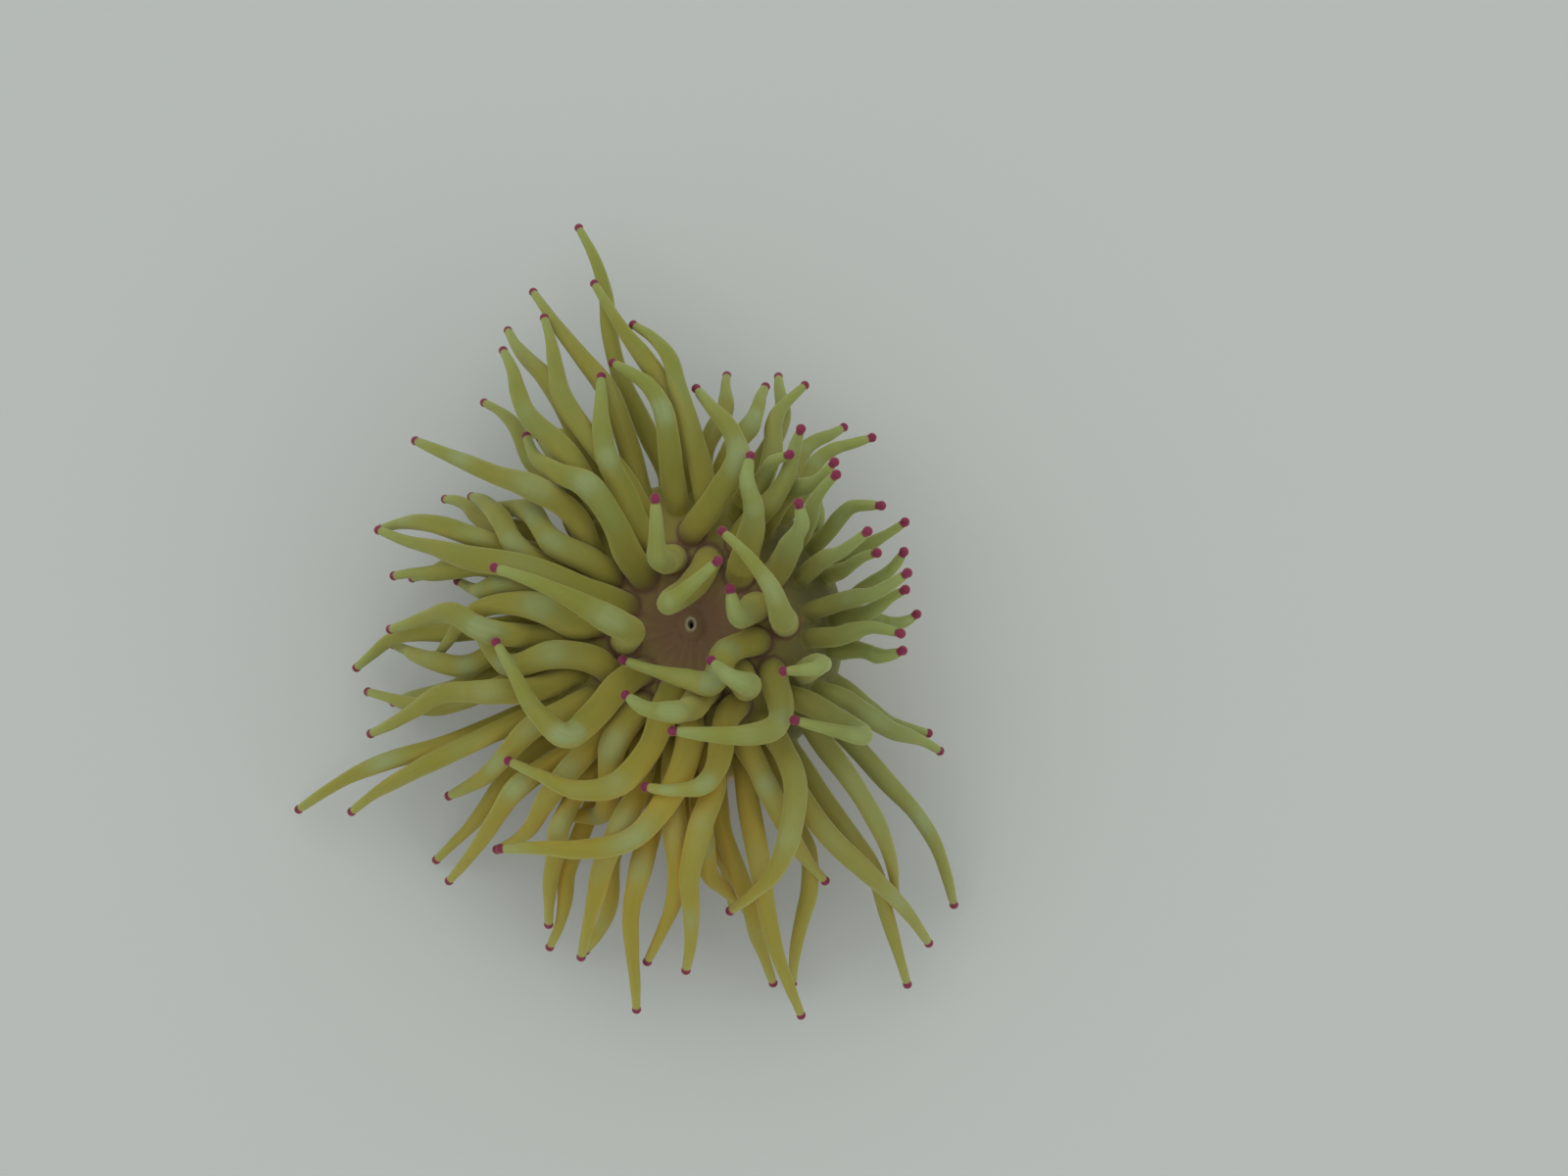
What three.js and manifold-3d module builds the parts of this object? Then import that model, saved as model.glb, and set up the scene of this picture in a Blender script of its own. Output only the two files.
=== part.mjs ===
// A giant sea anemone at life size, its crown of 96 tentacles spread in a slow current.
//
// Frame: millimetres, +Z up, origin at the centre of the pedal disc's flat underside.
// The body is a stack of turned solids. The crown grows in hexamerous cycles (12 + 12 + 24 + 24 + 24):
// the two inner cycles stand on the oral disc, and the three outer ones on the rounded rim.
import * as THREE from 'three';
import { mergeVertices } from 'three/addons/utils/BufferGeometryUtils.js';
import Module from 'manifold-3d';

// ---------------------------------------------------------------- driving dimensions
const GAP = 0.3; // clear space between neighbouring solids
const DISC_HEIGHT = 38; // top of the oral disc above the floor
const PEDAL_RADIUS = 25.4;
const PEDAL_THICKNESS = 3;
const WAIST_RADIUS = 20; // narrowest part of the column
const WAIST_HEIGHT = 14.5;
const RIM_TUBE = 7.5; // the crown's edge is rounded by this radius
const RIM_RADIUS = 20; // radius of the circle that the rounding is struck from
const RIM_HEIGHT = DISC_HEIGHT - RIM_TUBE;
const CORE_RADIUS = 19; // the oral disc fills the rim ring up to here
const DISC_THICKNESS = 5;
const MOUTH_RADIUS = 0.9; // middle of the lips' ring, across the slit
const LIP_THICKNESS = 0.5;
const MOUTH_STRETCH = 1.35; // the mouth is longer along Y than across
const SECTORS = 12;
const BODY_SEGMENTS = 20;

// Tentacle cycles from the mouth outwards. Inner cycles have a root circle; outer ones sit at an
// angle round the rim's edge. tipHeight, lift and share pose those that have no row of their own:
// share is the part of the crown's reach, and lift raises the arch above the root.
const CYCLES = [
  { radius: 12.2, diameter: 5.6, offsets: [15], tipHeight: 44, crowdHeight: 64, lift: 18, share: 0.5 },
  { radius: 16.8, diameter: 5.3, offsets: [0], tipHeight: 30, crowdHeight: 62, lift: 16, share: 0.7 },
  { arc: 76, diameter: 4.7, offsets: [-6.5, 6.5], tipHeight: 24, crowdHeight: 62, lift: 16, share: 0.8 },
  { arc: 42, diameter: 4.3, offsets: [-9.5, 3.2], tipHeight: 12, crowdHeight: 56, lift: 9, share: 0.92 },
  { arc: 6, diameter: 4, offsets: [-3.2, 9.5], tipHeight: 4, crowdHeight: 48, lift: 3, share: 1 },
];
const INNER_CYCLES = 2;
const LINE_SAMPLES = 60; // points on a tentacle's centre line
const KNOTS = 7; // stations along a tentacle
const SIDES = [6, 6, 5, 5, 5]; // of the tentacles' faceted sections, by cycle
const PEAK = 0.7; // height of the low peak that closes a tip, in tip radii
const ROOT_NECK = 0.16; // the root is this much slimmer than the swelling just above it
const NECK_END = 0.12;
const TIP_RADIUS = 0.78;
const EVEN_PART = 0.6; // this part of the narrowing to the tip is even; the rest comes in a span
const SLENDER_FROM = 0.66; // about the place where the slender end begins, or up to the spread
const SLENDER_SPREAD = 0.16; // further out
const SLENDER_SPAN = 0.3;

// The crown's spread: longest towards LONG_SIDE, drawn by a slow current, and short, slim and
// upright where it is crowded from one side.
const REACH = 64;
const REACH_OVAL = 5;
const REACH_LEAN = 2;
const LONG_REACH = 66; // a shorter tentacle arches less
const LONG_SIDE = 106; // degrees
const CURRENT = new THREE.Vector3(-3, -1, 0);
const CROWD_SIDE = 20; // degrees
const CROWD_WIDTH = 40; // degrees
const CROWD_SLIM = 0.24; // part of the root's thickness lost in the crowd
const CROWD_RISE = 0.62; // the arch stands this far up between root and tip
const CROWD_FANNING = 0.3; // part of the turn towards FANNING_SIDE
const FANNING_SIDE = CROWD_SIDE + 10;
const CROWD_STILLNESS = 0.6; // part of the sideways wave lost in the crowd

// What chance does to a tentacle, as [least, spread above it].
const FREE_REACH = [0.92, 0.16]; // of the crown's reach
const FREE_HEIGHT = [0.8, 0.4]; // of the cycle's tip height
const CROWD_REACH = [34, 5];
const CROWD_HEIGHT = [0.92, 0.16]; // of the cycle's crowded height
const SWAY = [-6, 12]; // degrees from the root's azimuth to the tip's
const ARCH_SWAY = 0.35; // part of the sway reached at the arch
const ARCH_TURN = [-3.5, 7]; // degrees
const ARCH_PLACE = [0.42, 0.1]; // on the way from the root out to the tip
const ARCH_LIFT = [0.8, 0.4]; // of the cycle's lift
const WAVE = [1.2, 1.6];
const POSED_WAVE = [0.8, 0.8];

// Tentacles with a pose of their own: [cycle, root azimuth, arch, tip], where arch and tip are
// [azimuth in degrees, distance from the axis, height].
const POSES = [
  [0, 15, [-15, 9, 58], [22, 8, 60]],
  [0, 45, [57, 22, 58], [68, 29, 56]],
  [0, 75, [200, 5, 58], [50, 9, 64]],
  [0, 105, [115, 7, 60], [106, 18, 66]],
  [0, 135, [130, 24, 60], [131, 46, 38]],
  [0, 165, [174, 28, 52], [161, 63, 22]],
  [0, 195, [203, 8, 64], [168, 34, 56]],
  [0, 225, [230, 34, 58], [187, 34, 50]],
  [0, 255, [252, 38, 56], [218, 40, 44]],
  [0, 285, [268, 20, 60], [234, 18, 54]],
  [0, 315, [305, 19, 62], [294, 10, 58]],
  [0, 345, [287, 17, 54], [215, 14, 50]],
  [1, 0, [-10, 17, 68], [65, 14, 60]],
  [1, 30, [32, 23, 56], [43, 26, 60]],
  [1, 90, [70, 28, 56], [89, 42, 44]],
  [1, 120, [118, 30, 54], [110, 47, 42]],
  [1, 210, [196, 29, 48], [176, 43, 32]],
  [1, 270, [265, 38, 52], [230, 52, 38]],
  [1, 300, [278, 33, 54], [256, 31, 50]],
  [1, 330, [305, 30, 58], [263, 21, 56]],
  [2, 96.5, [94, 36, 54], [107, 50, 40]],
  [2, 143.5, [145, 32, 56], [145, 64, 26]],
  [2, 306.5, [297, 45, 56], [278, 51, 32]],
  [2, 323.5, [326, 42, 52], [313, 26, 54]],
  [2, 336.5, [338, 26, 66], [324, 20, 62]],
  [3, 320.5, [315, 46, 46], [308, 60, 20]],
];

// Tips of others that arch freely to a given place, by cycle and root azimuth. Those without a row
// follow the crown's spread.
const TIPS = {
  1: { 60: [58, 37, 56] },
  2: {
    6.5: [8, 38, 61], 23.5: [21, 33, 64], 36.5: [41, 34, 61], 53.5: [45, 36, 57],
    66.5: [57, 33, 54], 83.5: [102, 58, 34], 113.5: [115, 66, 28], 126.5: [124, 64, 30],
    156.5: [148, 49, 24], 173.5: [168, 44, 32], 186.5: [179, 56, 26], 203.5: [197, 62, 24],
    233.5: [228, 53, 26], 246.5: [251, 62, 22], 263.5: [262, 60, 20], 276.5: [269, 61, 24],
    293.5: [298, 51, 28], 353.5: [353, 37, 56],
  },
  3: {
    3.2: [6, 38, 52], 20.5: [16, 34, 57], 80.5: [74, 48, 30], 93.2: [106, 70, 26],
    110.5: [115, 76, 16], 123.2: [121, 72, 14], 140.5: [128, 47, 26], 153.2: [160, 64, 16],
    170.5: [168, 58, 20], 183.2: [180, 58, 14], 200.5: [188, 63, 12], 213.2: [206, 72, 12],
    230.5: [224, 64, 12], 243.2: [243, 59, 14], 260.5: [261, 69, 10], 273.2: [282, 54, 14],
    290.5: [286, 72, 10], 303.2: [308, 71, 10], 350.5: [351, 38, 47],
  },
  4: {
    26.8: [26, 43, 38], 39.5: [47, 35, 36], 86.8: [84, 53, 14], 99.5: [106, 86, 14],
    116.8: [128, 55, 8], 129.5: [131, 64, 10], 146.8: [149, 58, 6], 159.5: [166, 57, 8],
    176.8: [183, 66, 6], 206.8: [202, 82, 6], 236.8: [244, 63, 6], 249.5: [250, 61, 6],
    266.8: [278, 50, 8], 279.5: [283, 65, 6], 296.8: [286, 66, 6], 309.5: [302, 75, 8],
    326.8: [315, 69, 6], 339.5: [338, 47, 20],
  },
};

// ---------------------------------------------------------------- small helpers
const radians = THREE.MathUtils.degToRad;
const fraction = (x) => x - Math.floor(x);
const SEED_STEP = 7; // one more than the chances that a tentacle takes
const chance = (seed) => fraction(Math.sin(seed * 12.9898 + 4.1414) * 43758.5453);
const turnBetween = (a, b) => THREE.MathUtils.euclideanModulo(b - a + 180, 360) - 180;
const blend = THREE.MathUtils.lerp;
const within = ([least, spread], luck) => least + spread * luck;

function polar(azimuth, reach, height) {
  const angle = radians(azimuth);
  return new THREE.Vector3(reach * Math.cos(angle), reach * Math.sin(angle), height);
}

// ---------------------------------------------------------------- the crown's layout
function cycleRoot(cycle) {
  if (cycle.arc === undefined) {
    return { radius: cycle.radius, height: DISC_HEIGHT, lean: 90 };
  }
  const angle = radians(cycle.arc);
  return {
    radius: RIM_RADIUS + RIM_TUBE * Math.cos(angle),
    height: RIM_HEIGHT + RIM_TUBE * Math.sin(angle),
    lean: cycle.arc,
  };
}

function crownReach(azimuth) {
  const angle = radians(azimuth - LONG_SIDE);
  return REACH + REACH_OVAL * Math.cos(2 * angle) + REACH_LEAN * Math.cos(angle);
}

// 1 in the middle of the crowded side, falling to 0 away from it.
function crowding(azimuth) {
  return Math.exp(-((turnBetween(CROWD_SIDE, azimuth) / CROWD_WIDTH) ** 2));
}

// Where a free tentacle arches and ends, from its cycle, its azimuth and six chances. A placed tip
// takes over the end, and the arch follows it.
function spreadPose(cycle, root, azimuth, luck, placed) {
  const crowd = crowding(azimuth);
  const free = crownReach(azimuth) * cycle.share * within(FREE_REACH, luck[0]);
  const low = cycle.tipHeight * within(FREE_HEIGHT, luck[1]);
  let reach = blend(free, within(CROWD_REACH, luck[0]), crowd);
  let height = blend(low, cycle.crowdHeight * within(CROWD_HEIGHT, luck[1]), crowd);
  let sway = within(SWAY, luck[2]) + CROWD_FANNING * crowd * turnBetween(azimuth, FANNING_SIDE);
  let tip = polar(azimuth + sway, reach, height).addScaledVector(CURRENT, 1 - crowd);
  if (placed) {
    [, reach, height] = placed;
    sway = turnBetween(azimuth, placed[0]);
    tip = polar(...placed);
  }
  const lift = cycle.lift * within(ARCH_LIFT, luck[5]) * Math.min(reach / LONG_REACH, 1);
  const arch = polar(
    azimuth + ARCH_SWAY * sway + within(ARCH_TURN, luck[3]),
    blend(root.radius, reach, within(ARCH_PLACE, luck[4])),
    root.height + blend(lift, CROWD_RISE * (height - root.height), crowd),
  );
  return { arch, tip, wave: within(WAVE, luck[3]) * (1 - CROWD_STILLNESS * crowd) };
}

// The centre line: (1-t)^3 root + 3t(1-t) arch + t^3 tip, swung sideways by a growing sine wave.
function centreLine(root, pose, phase) {
  const side = pose.tip.clone().sub(root).cross(new THREE.Vector3(0, 0, 1)).normalize();
  const points = [];
  for (let i = 0; i <= LINE_SAMPLES; i += 1) {
    const t = i / LINE_SAMPLES;
    const swing = Math.sin(2 * Math.PI * (t + phase)) - Math.sin(2 * Math.PI * phase);
    const point = root.clone().multiplyScalar((1 - t) ** 3);
    point.addScaledVector(pose.arch, 3 * t * (1 - t));
    point.addScaledVector(pose.tip, t ** 3);
    points.push(point.addScaledVector(side, pose.wave * swing * t));
  }
  return points;
}

// Stations at equal distances along a line of points.
function equalStations(points, count) {
  const run = [0];
  for (let i = 1; i < points.length; i += 1) {
    run.push(run[i - 1] + points[i].distanceTo(points[i - 1]));
  }
  const stations = [];
  let i = 1;
  for (let k = 0; k < count; k += 1) {
    const target = (run.at(-1) * k) / (count - 1);
    while (i < points.length - 1 && run[i] < target) {
      i += 1;
    }
    const share = (target - run[i - 1]) / (run[i] - run[i - 1]);
    stations.push(points[i - 1].clone().lerp(points[i], share));
  }
  return stations;
}

function layOutCrown() {
  const tentacles = [];
  CYCLES.forEach((cycle, number) => {
    const root = cycleRoot(cycle);
    for (let sector = 0; sector < SECTORS; sector += 1) {
      for (const offset of cycle.offsets) {
        const azimuth = THREE.MathUtils.euclideanModulo((360 / SECTORS) * sector + offset, 360);
        const seed = SEED_STEP * (tentacles.length + 1);
        const luck = [1, 2, 3, 4, 5, 6].map((step) => chance(seed + step));
        const foot = polar(azimuth, root.radius, root.height);
        const label = Number(azimuth.toFixed(1));
        const own = POSES.find((row) => row[0] === number && row[1] === label);
        const pose = own
          ? { arch: polar(...own[2]), tip: polar(...own[3]), wave: within(POSED_WAVE, luck[3]) }
          : spreadPose(cycle, root, azimuth, luck, TIPS[number]?.[label]);
        const slim = own ? 0 : CROWD_SLIM * crowding(azimuth);
        tentacles.push({
          cycle: number,
          sector,
          radius: (cycle.diameter / 2) * (1 - slim),
          slender: SLENDER_FROM + SLENDER_SPREAD * luck[4],
          leaving: polar(azimuth, Math.cos(radians(root.lean)), Math.sin(radians(root.lean))),
          knots: equalStations(centreLine(foot, pose, luck[5]), KNOTS),
        });
      }
    }
  });
  return tentacles;
}

// Radius of a tentacle at the part t of its length: a slim neck, then narrowing to the tip partly
// evenly and partly where its slender end begins.
function thickness(tentacle, t) {
  const { radius, slender } = tentacle;
  const neck = 1 - ROOT_NECK * (1 - Math.min(t / NECK_END, 1));
  const ending = THREE.MathUtils.smoothstep(t, slender - SLENDER_SPAN, slender + SLENDER_SPAN);
  return blend(radius * neck, TIP_RADIUS, EVEN_PART * t + (1 - EVEN_PART) * ending);
}

// ---------------------------------------------------------------- keeping tentacles apart
// Each tentacle is a string of beads between its knots. Beads of two tentacles that come too close
// push each other away, and the push is shared by the knots beside them, so the arms slide off one
// another as soft ones do. Roots hold fast, and everything stays clear of the rim and the floor.
const BEADS_PER_SPAN = 4;
const ROUNDS = 90;
const SEARCH_EVERY = 6;
const SEARCH_DISTANCE = 8;
const CORNER = 1.1; // a faceted section's corners stand this much outside its round one
const CLEARANCE = 0.35;
const FLOOR_CLEARANCE = 1;
const EVENING = 0.5; // part of a knot's move that is shared evenly with its neighbours'
const HELD_KNOTS = 2; // a root's stiffness fades out over this many knots

function makeBeads(tentacles) {
  const beads = [];
  tentacles.forEach((tentacle, owner) => {
    for (let step = 0; step <= (KNOTS - 1) * BEADS_PER_SPAN; step += 1) {
      const span = Math.min(Math.floor(step / BEADS_PER_SPAN), KNOTS - 2);
      const t = step / ((KNOTS - 1) * BEADS_PER_SPAN);
      const radius = thickness(tentacle, t) * CORNER;
      beads.push({ owner, span, share: step / BEADS_PER_SPAN - span, radius, at: new THREE.Vector3() });
    }
  });
  return beads;
}

function closePairs(beads) {
  const pairs = [];
  for (let i = 0; i < beads.length; i += 1) {
    for (let j = i + 1; j < beads.length; j += 1) {
      const apart = beads[i].owner !== beads[j].owner;
      if (apart && beads[i].at.distanceToSquared(beads[j].at) < SEARCH_DISTANCE ** 2) {
        pairs.push([beads[i], beads[j]]);
      }
    }
  }
  return pairs;
}

function pushKnots(pushes, bead, push) {
  [1 - bead.share, bead.share].forEach((weight, side) => {
    const slot = pushes[bead.owner][bead.span + side];
    slot.sum.addScaledVector(push, weight);
    slot.weight += weight;
  });
}

// Moves a knot outside the rounded rim, then above the floor.
function clearOfBody(knot, radius) {
  const distance = Math.hypot(knot.x, knot.y);
  const outward = Math.max(distance - RIM_RADIUS, 0);
  const upward = knot.z - RIM_HEIGHT;
  const away = Math.hypot(outward, upward);
  const lack = Math.max(radius + CLEARANCE + RIM_TUBE - away, 0);
  const scale = 1 + (lack * outward) / (away * distance);
  knot.set(knot.x * scale, knot.y * scale, knot.z + (lack * upward) / away);
  knot.z = Math.max(knot.z, radius + FLOOR_CLEARANCE);
}

function relax(tentacles) {
  const beads = makeBeads(tentacles);
  let pairs = [];
  for (let round = 0; round < ROUNDS; round += 1) {
    for (const bead of beads) {
      const { knots } = tentacles[bead.owner];
      bead.at.copy(knots[bead.span]).lerp(knots[bead.span + 1], bead.share);
    }
    if (round % SEARCH_EVERY === 0) {
      pairs = closePairs(beads);
    }
    const pushes = tentacles.map(({ knots }) => knots.map(() => ({ sum: new THREE.Vector3(), weight: 0 })));
    for (const [a, b] of pairs) {
      const between = a.at.clone().sub(b.at);
      const distance = between.length();
      const lack = a.radius + b.radius + CLEARANCE - distance;
      if (lack > 0) {
        between.multiplyScalar((0.5 * lack) / distance);
        pushKnots(pushes, a, between);
        pushKnots(pushes, b, between.clone().negate());
      }
    }
    tentacles.forEach((tentacle, owner) => {
      const moves = pushes[owner].map((slot) => slot.sum.divideScalar(Math.max(slot.weight, 1)));
      for (let k = 1; k < KNOTS; k += 1) {
        const smooth = moves[k].clone().multiplyScalar(0.5);
        if (k < KNOTS - 1) {
          smooth.addScaledVector(moves[k - 1], 0.25).addScaledVector(moves[k + 1], 0.25);
        } else {
          smooth.addScaledVector(moves[k], 0.5);
        }
        const move = moves[k].clone().lerp(smooth, EVENING);
        tentacle.knots[k].addScaledVector(move, Math.min(k / HELD_KNOTS, 1));
        clearOfBody(tentacle.knots[k], thickness(tentacle, k / (KNOTS - 1)) * CORNER);
      }
    });
  }
  return tentacles;
}

// ---------------------------------------------------------------- faceted solids
function solidGeometry(positions, triangles) {
  const geometry = new THREE.BufferGeometry();
  geometry.setAttribute('position', new THREE.Float32BufferAttribute(positions, 3));
  geometry.setIndex(triangles);
  return geometry;
}

// A closed tube through rings of equal point counts. The first ring is closed by a flat fan, and
// the last one by a flat fan or, when a peak is given, by a low pyramid up to it.
function ringSolid(rings, peak) {
  const sides = rings[0].length;
  const positions = rings.flat().flatMap((point) => point.toArray());
  const triangles = [];
  for (let row = 0; row < rings.length - 1; row += 1) {
    for (let side = 0; side < sides; side += 1) {
      const a = row * sides + side;
      const b = row * sides + ((side + 1) % sides);
      triangles.push(a, b, b + sides, a, b + sides, a + sides);
    }
  }
  const last = (rings.length - 1) * sides;
  for (let side = 1; side < sides - 1; side += 1) {
    triangles.push(0, side + 1, side);
    if (!peak) {
      triangles.push(last, last + side, last + side + 1);
    }
  }
  if (peak) {
    positions.push(...peak.toArray());
    for (let side = 0; side < sides; side += 1) {
      triangles.push(last + side, last + ((side + 1) % sides), last + sides);
    }
  }
  return solidGeometry(positions, triangles);
}

// Tangents and untwisted normals at a tentacle's knots.
function framesAlong(tentacle) {
  const { knots } = tentacle;
  const tangents = knots.map((knot, k) => {
    const before = knots[Math.max(k - 1, 0)];
    const after = knots[Math.min(k + 1, KNOTS - 1)];
    return after.clone().sub(before).normalize();
  });
  tangents[0].copy(tentacle.leaving).normalize();
  const normals = [];
  const start = new THREE.Vector3(-knots[0].y, knots[0].x, 0).normalize();
  tangents.forEach((tangent, k) => {
    const previous = k === 0 ? start : normals[k - 1];
    normals.push(previous.clone().addScaledVector(tangent, -previous.dot(tangent)).normalize());
  });
  return { tangents, normals };
}

function ringAt(centre, tangent, normal, radius, sides) {
  const binormal = tangent.clone().cross(normal);
  const ring = [];
  for (let side = 0; side < sides; side += 1) {
    const angle = (2 * Math.PI * side) / sides;
    const point = centre.clone().addScaledVector(normal, radius * Math.cos(angle));
    ring.push(point.addScaledVector(binormal, radius * Math.sin(angle)));
  }
  return ring;
}

// The stretch of a tentacle between two knots. startShift and endShift move its end rings along it.
function tentacleStretch(tentacle, from, to, startShift, endShift) {
  const { tangents, normals } = framesAlong(tentacle);
  const sides = SIDES[tentacle.cycle];
  const rings = [];
  for (let k = from; k <= to; k += 1) {
    const shift = k === from ? startShift : k === to ? endShift : 0;
    const centre = tentacle.knots[k].clone().addScaledVector(tangents[k], shift);
    const radius = thickness(tentacle, k / (KNOTS - 1)) * CORNER;
    rings.push(ringAt(centre, tangents[k], normals[k], radius, sides));
  }
  const isTip = to === KNOTS - 1;
  const peakHeight = PEAK * thickness(tentacle, 1);
  const peak = tentacle.knots[to].clone().addScaledVector(tangents[to], peakHeight);
  return ringSolid(rings, isTip ? peak : null);
}

function turned(profile) {
  const outline = profile.map(([radius, height]) => new THREE.Vector2(radius, height));
  return new THREE.LatheGeometry(outline, BODY_SEGMENTS).rotateX(Math.PI / 2);
}

function arcPoints(fromAngle, toAngle, steps) {
  const points = [];
  for (let i = 0; i <= steps; i += 1) {
    const angle = radians(blend(fromAngle, toAngle, i / steps));
    points.push([RIM_RADIUS + RIM_TUBE * Math.cos(angle), RIM_HEIGHT + RIM_TUBE * Math.sin(angle)]);
  }
  return points;
}

const RIM_END_ANGLE = -52; // where the rim's rounding meets the column
const RIM_FLOOR = RIM_HEIGHT + RIM_TUBE * Math.sin(radians(RIM_END_ANGLE));
const RIM_FOOT_RADIUS = RIM_RADIUS + RIM_TUBE * Math.cos(radians(RIM_END_ANGLE));

// One twelfth of the rim: its section swept round the axis between two flat end faces.
function rimWedge(sector) {
  const inside = CORE_RADIUS + GAP;
  const section = [...arcPoints(90, RIM_END_ANGLE, 5), [inside, RIM_FLOOR], [inside, DISC_HEIGHT]];
  const halfTurn = 180 / SECTORS - THREE.MathUtils.radToDeg(GAP / 2 / CORE_RADIUS);
  const centre = (360 / SECTORS) * sector;
  const steps = 2;
  const rings = [];
  for (let i = 0; i <= steps; i += 1) {
    const azimuth = centre + blend(-halfTurn, halfTurn, i / steps);
    rings.push(section.map(([radius, height]) => polar(azimuth, radius, height)));
  }
  const count = section.length;
  const positions = rings.flat().flatMap((point) => point.toArray());
  const triangles = [];
  for (let row = 0; row < steps; row += 1) {
    for (let i = 0; i < count; i += 1) {
      const a = row * count + i;
      const b = row * count + ((i + 1) % count);
      triangles.push(a, b, b + count, a, b + count, a + count);
    }
  }
  const outline = section.map(([radius, height]) => new THREE.Vector2(radius, height));
  for (const [a, b, c] of THREE.ShapeUtils.triangulateShape(outline, [])) {
    triangles.push(a, b, c, c + steps * count, b + steps * count, a + steps * count);
  }
  return solidGeometry(positions, triangles);
}

// ---------------------------------------------------------------- joining closed meshes
const wasm = await Module();
wasm.setup();

function toManifold(geometry) {
  const bare = geometry.clone();
  bare.deleteAttribute('normal');
  bare.deleteAttribute('uv');
  const merged = mergeVertices(bare, 1e-4);
  const vertProperties = new Float32Array(merged.attributes.position.array);
  const triVerts = new Uint32Array(merged.index.array);
  return new wasm.Manifold(new wasm.Mesh({ numProp: 3, vertProperties, triVerts }));
}

function fromManifold(manifold) {
  const { vertProperties, triVerts } = manifold.getMesh();
  return solidGeometry(Array.from(vertProperties), Array.from(triVerts));
}

// ---------------------------------------------------------------- the object
const FINISHES = {
  tentacle: { color: 0x8f8f3c, roughness: 0.45 },
  rim: { color: 0x857f3a, roughness: 0.5 },
  disc: { color: 0x6b5636, roughness: 0.5 },
  lips: { color: 0xb7ab8c, roughness: 0.45 },
  column: { color: 0xa5743f, roughness: 0.55 },
};

const anemone = new THREE.Group();

function addPart(name, geometry, finish) {
  const material = new THREE.MeshStandardMaterial({ ...FINISHES[finish], metalness: 0 });
  const mesh = new THREE.Mesh(geometry, material);
  mesh.name = name;
  anemone.add(mesh);
}

function addBody() {
  addPart('pedal_disc', turned([
    [0, 0],
    [PEDAL_RADIUS - 0.9, 0],
    [PEDAL_RADIUS, 0.8],
    [PEDAL_RADIUS - 0.4, 1.9],
    [PEDAL_RADIUS - 1.3, PEDAL_THICKNESS],
    [0, PEDAL_THICKNESS],
  ]), 'column');
  const scapusFoot = PEDAL_THICKNESS + GAP;
  addPart('column_lower', turned([
    [0, scapusFoot],
    [PEDAL_RADIUS - 1.6, scapusFoot],
    [WAIST_RADIUS + 1.6, 7.2],
    [WAIST_RADIUS, WAIST_HEIGHT],
    [0, WAIST_HEIGHT],
  ]), 'column');
  addPart('column_upper', turned([
    [0, WAIST_HEIGHT + GAP],
    [WAIST_RADIUS, WAIST_HEIGHT + GAP],
    [WAIST_RADIUS + 0.5, 18],
    [WAIST_RADIUS + 2, 21.6],
    [RIM_FOOT_RADIUS - 0.5, RIM_FLOOR - GAP],
    [CORE_RADIUS, RIM_FLOOR - GAP],
    [CORE_RADIUS, DISC_HEIGHT - DISC_THICKNESS - GAP],
    [0, DISC_HEIGHT - DISC_THICKNESS - GAP],
  ]), 'column');
}

function addDiscAndMouth() {
  const throatRadius = 0.55 * MOUTH_RADIUS;
  const throatDepth = 2;
  addPart('oral_disc', turned([
    [0, DISC_HEIGHT - DISC_THICKNESS],
    [CORE_RADIUS, DISC_HEIGHT - DISC_THICKNESS],
    [CORE_RADIUS, DISC_HEIGHT],
    [throatRadius, DISC_HEIGHT],
    [0, DISC_HEIGHT - throatDepth],
  ]), 'disc');
  const lips = new THREE.TorusGeometry(MOUTH_RADIUS, LIP_THICKNESS, 6, 10);
  lips.scale(1, MOUTH_STRETCH, 1);
  lips.translate(0, 0, DISC_HEIGHT + GAP + LIP_THICKNESS);
  addPart('mouth_lips', lips, 'lips');
}

function addInnerTentacles(tentacles) {
  const divide = 3; // the knot at which a primary tentacle is divided
  for (const tentacle of tentacles.filter(({ cycle }) => cycle < INNER_CYCLES)) {
    const label = String(tentacle.sector + 1).padStart(2, '0');
    if (tentacle.cycle === 0) {
      const base = tentacleStretch(tentacle, 0, divide, GAP, -GAP / 2);
      const tip = tentacleStretch(tentacle, divide, KNOTS - 1, GAP / 2, 0);
      addPart(`tentacle_first_${label}_base`, base, 'tentacle');
      addPart(`tentacle_first_${label}_tip`, tip, 'tentacle');
    } else {
      addPart(`tentacle_second_${label}`, tentacleStretch(tentacle, 0, KNOTS - 1, GAP, 0), 'tentacle');
    }
  }
}

// The outer tentacles are joined to the stretch of rim that they grow from.
function addRimSectors(tentacles) {
  const sunk = -1.2; // the root ring lies this far under the rim's skin
  for (let sector = 0; sector < SECTORS; sector += 1) {
    let solid = toManifold(rimWedge(sector));
    for (const tentacle of tentacles) {
      if (tentacle.cycle >= INNER_CYCLES && tentacle.sector === sector) {
        solid = solid.add(toManifold(tentacleStretch(tentacle, 0, KNOTS - 1, sunk, 0)));
      }
    }
    const label = String(sector + 1).padStart(2, '0');
    addPart(`crown_sector_${label}`, fromManifold(solid), 'rim');
  }
}

const crown = relax(layOutCrown());
addBody();
addDiscAndMouth();
addInnerTentacles(crown);
addRimSectors(crown);

export default anemone;
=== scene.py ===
"""A giant sea anemone at life size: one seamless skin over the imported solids, on a pale floor.

Lengths in the functions are millimetres; the mesh is scaled to metres as its last step.
"""

import bpy
import numpy as np
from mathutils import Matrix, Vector
from mathutils.geometry import delaunay_2d_cdt


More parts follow.
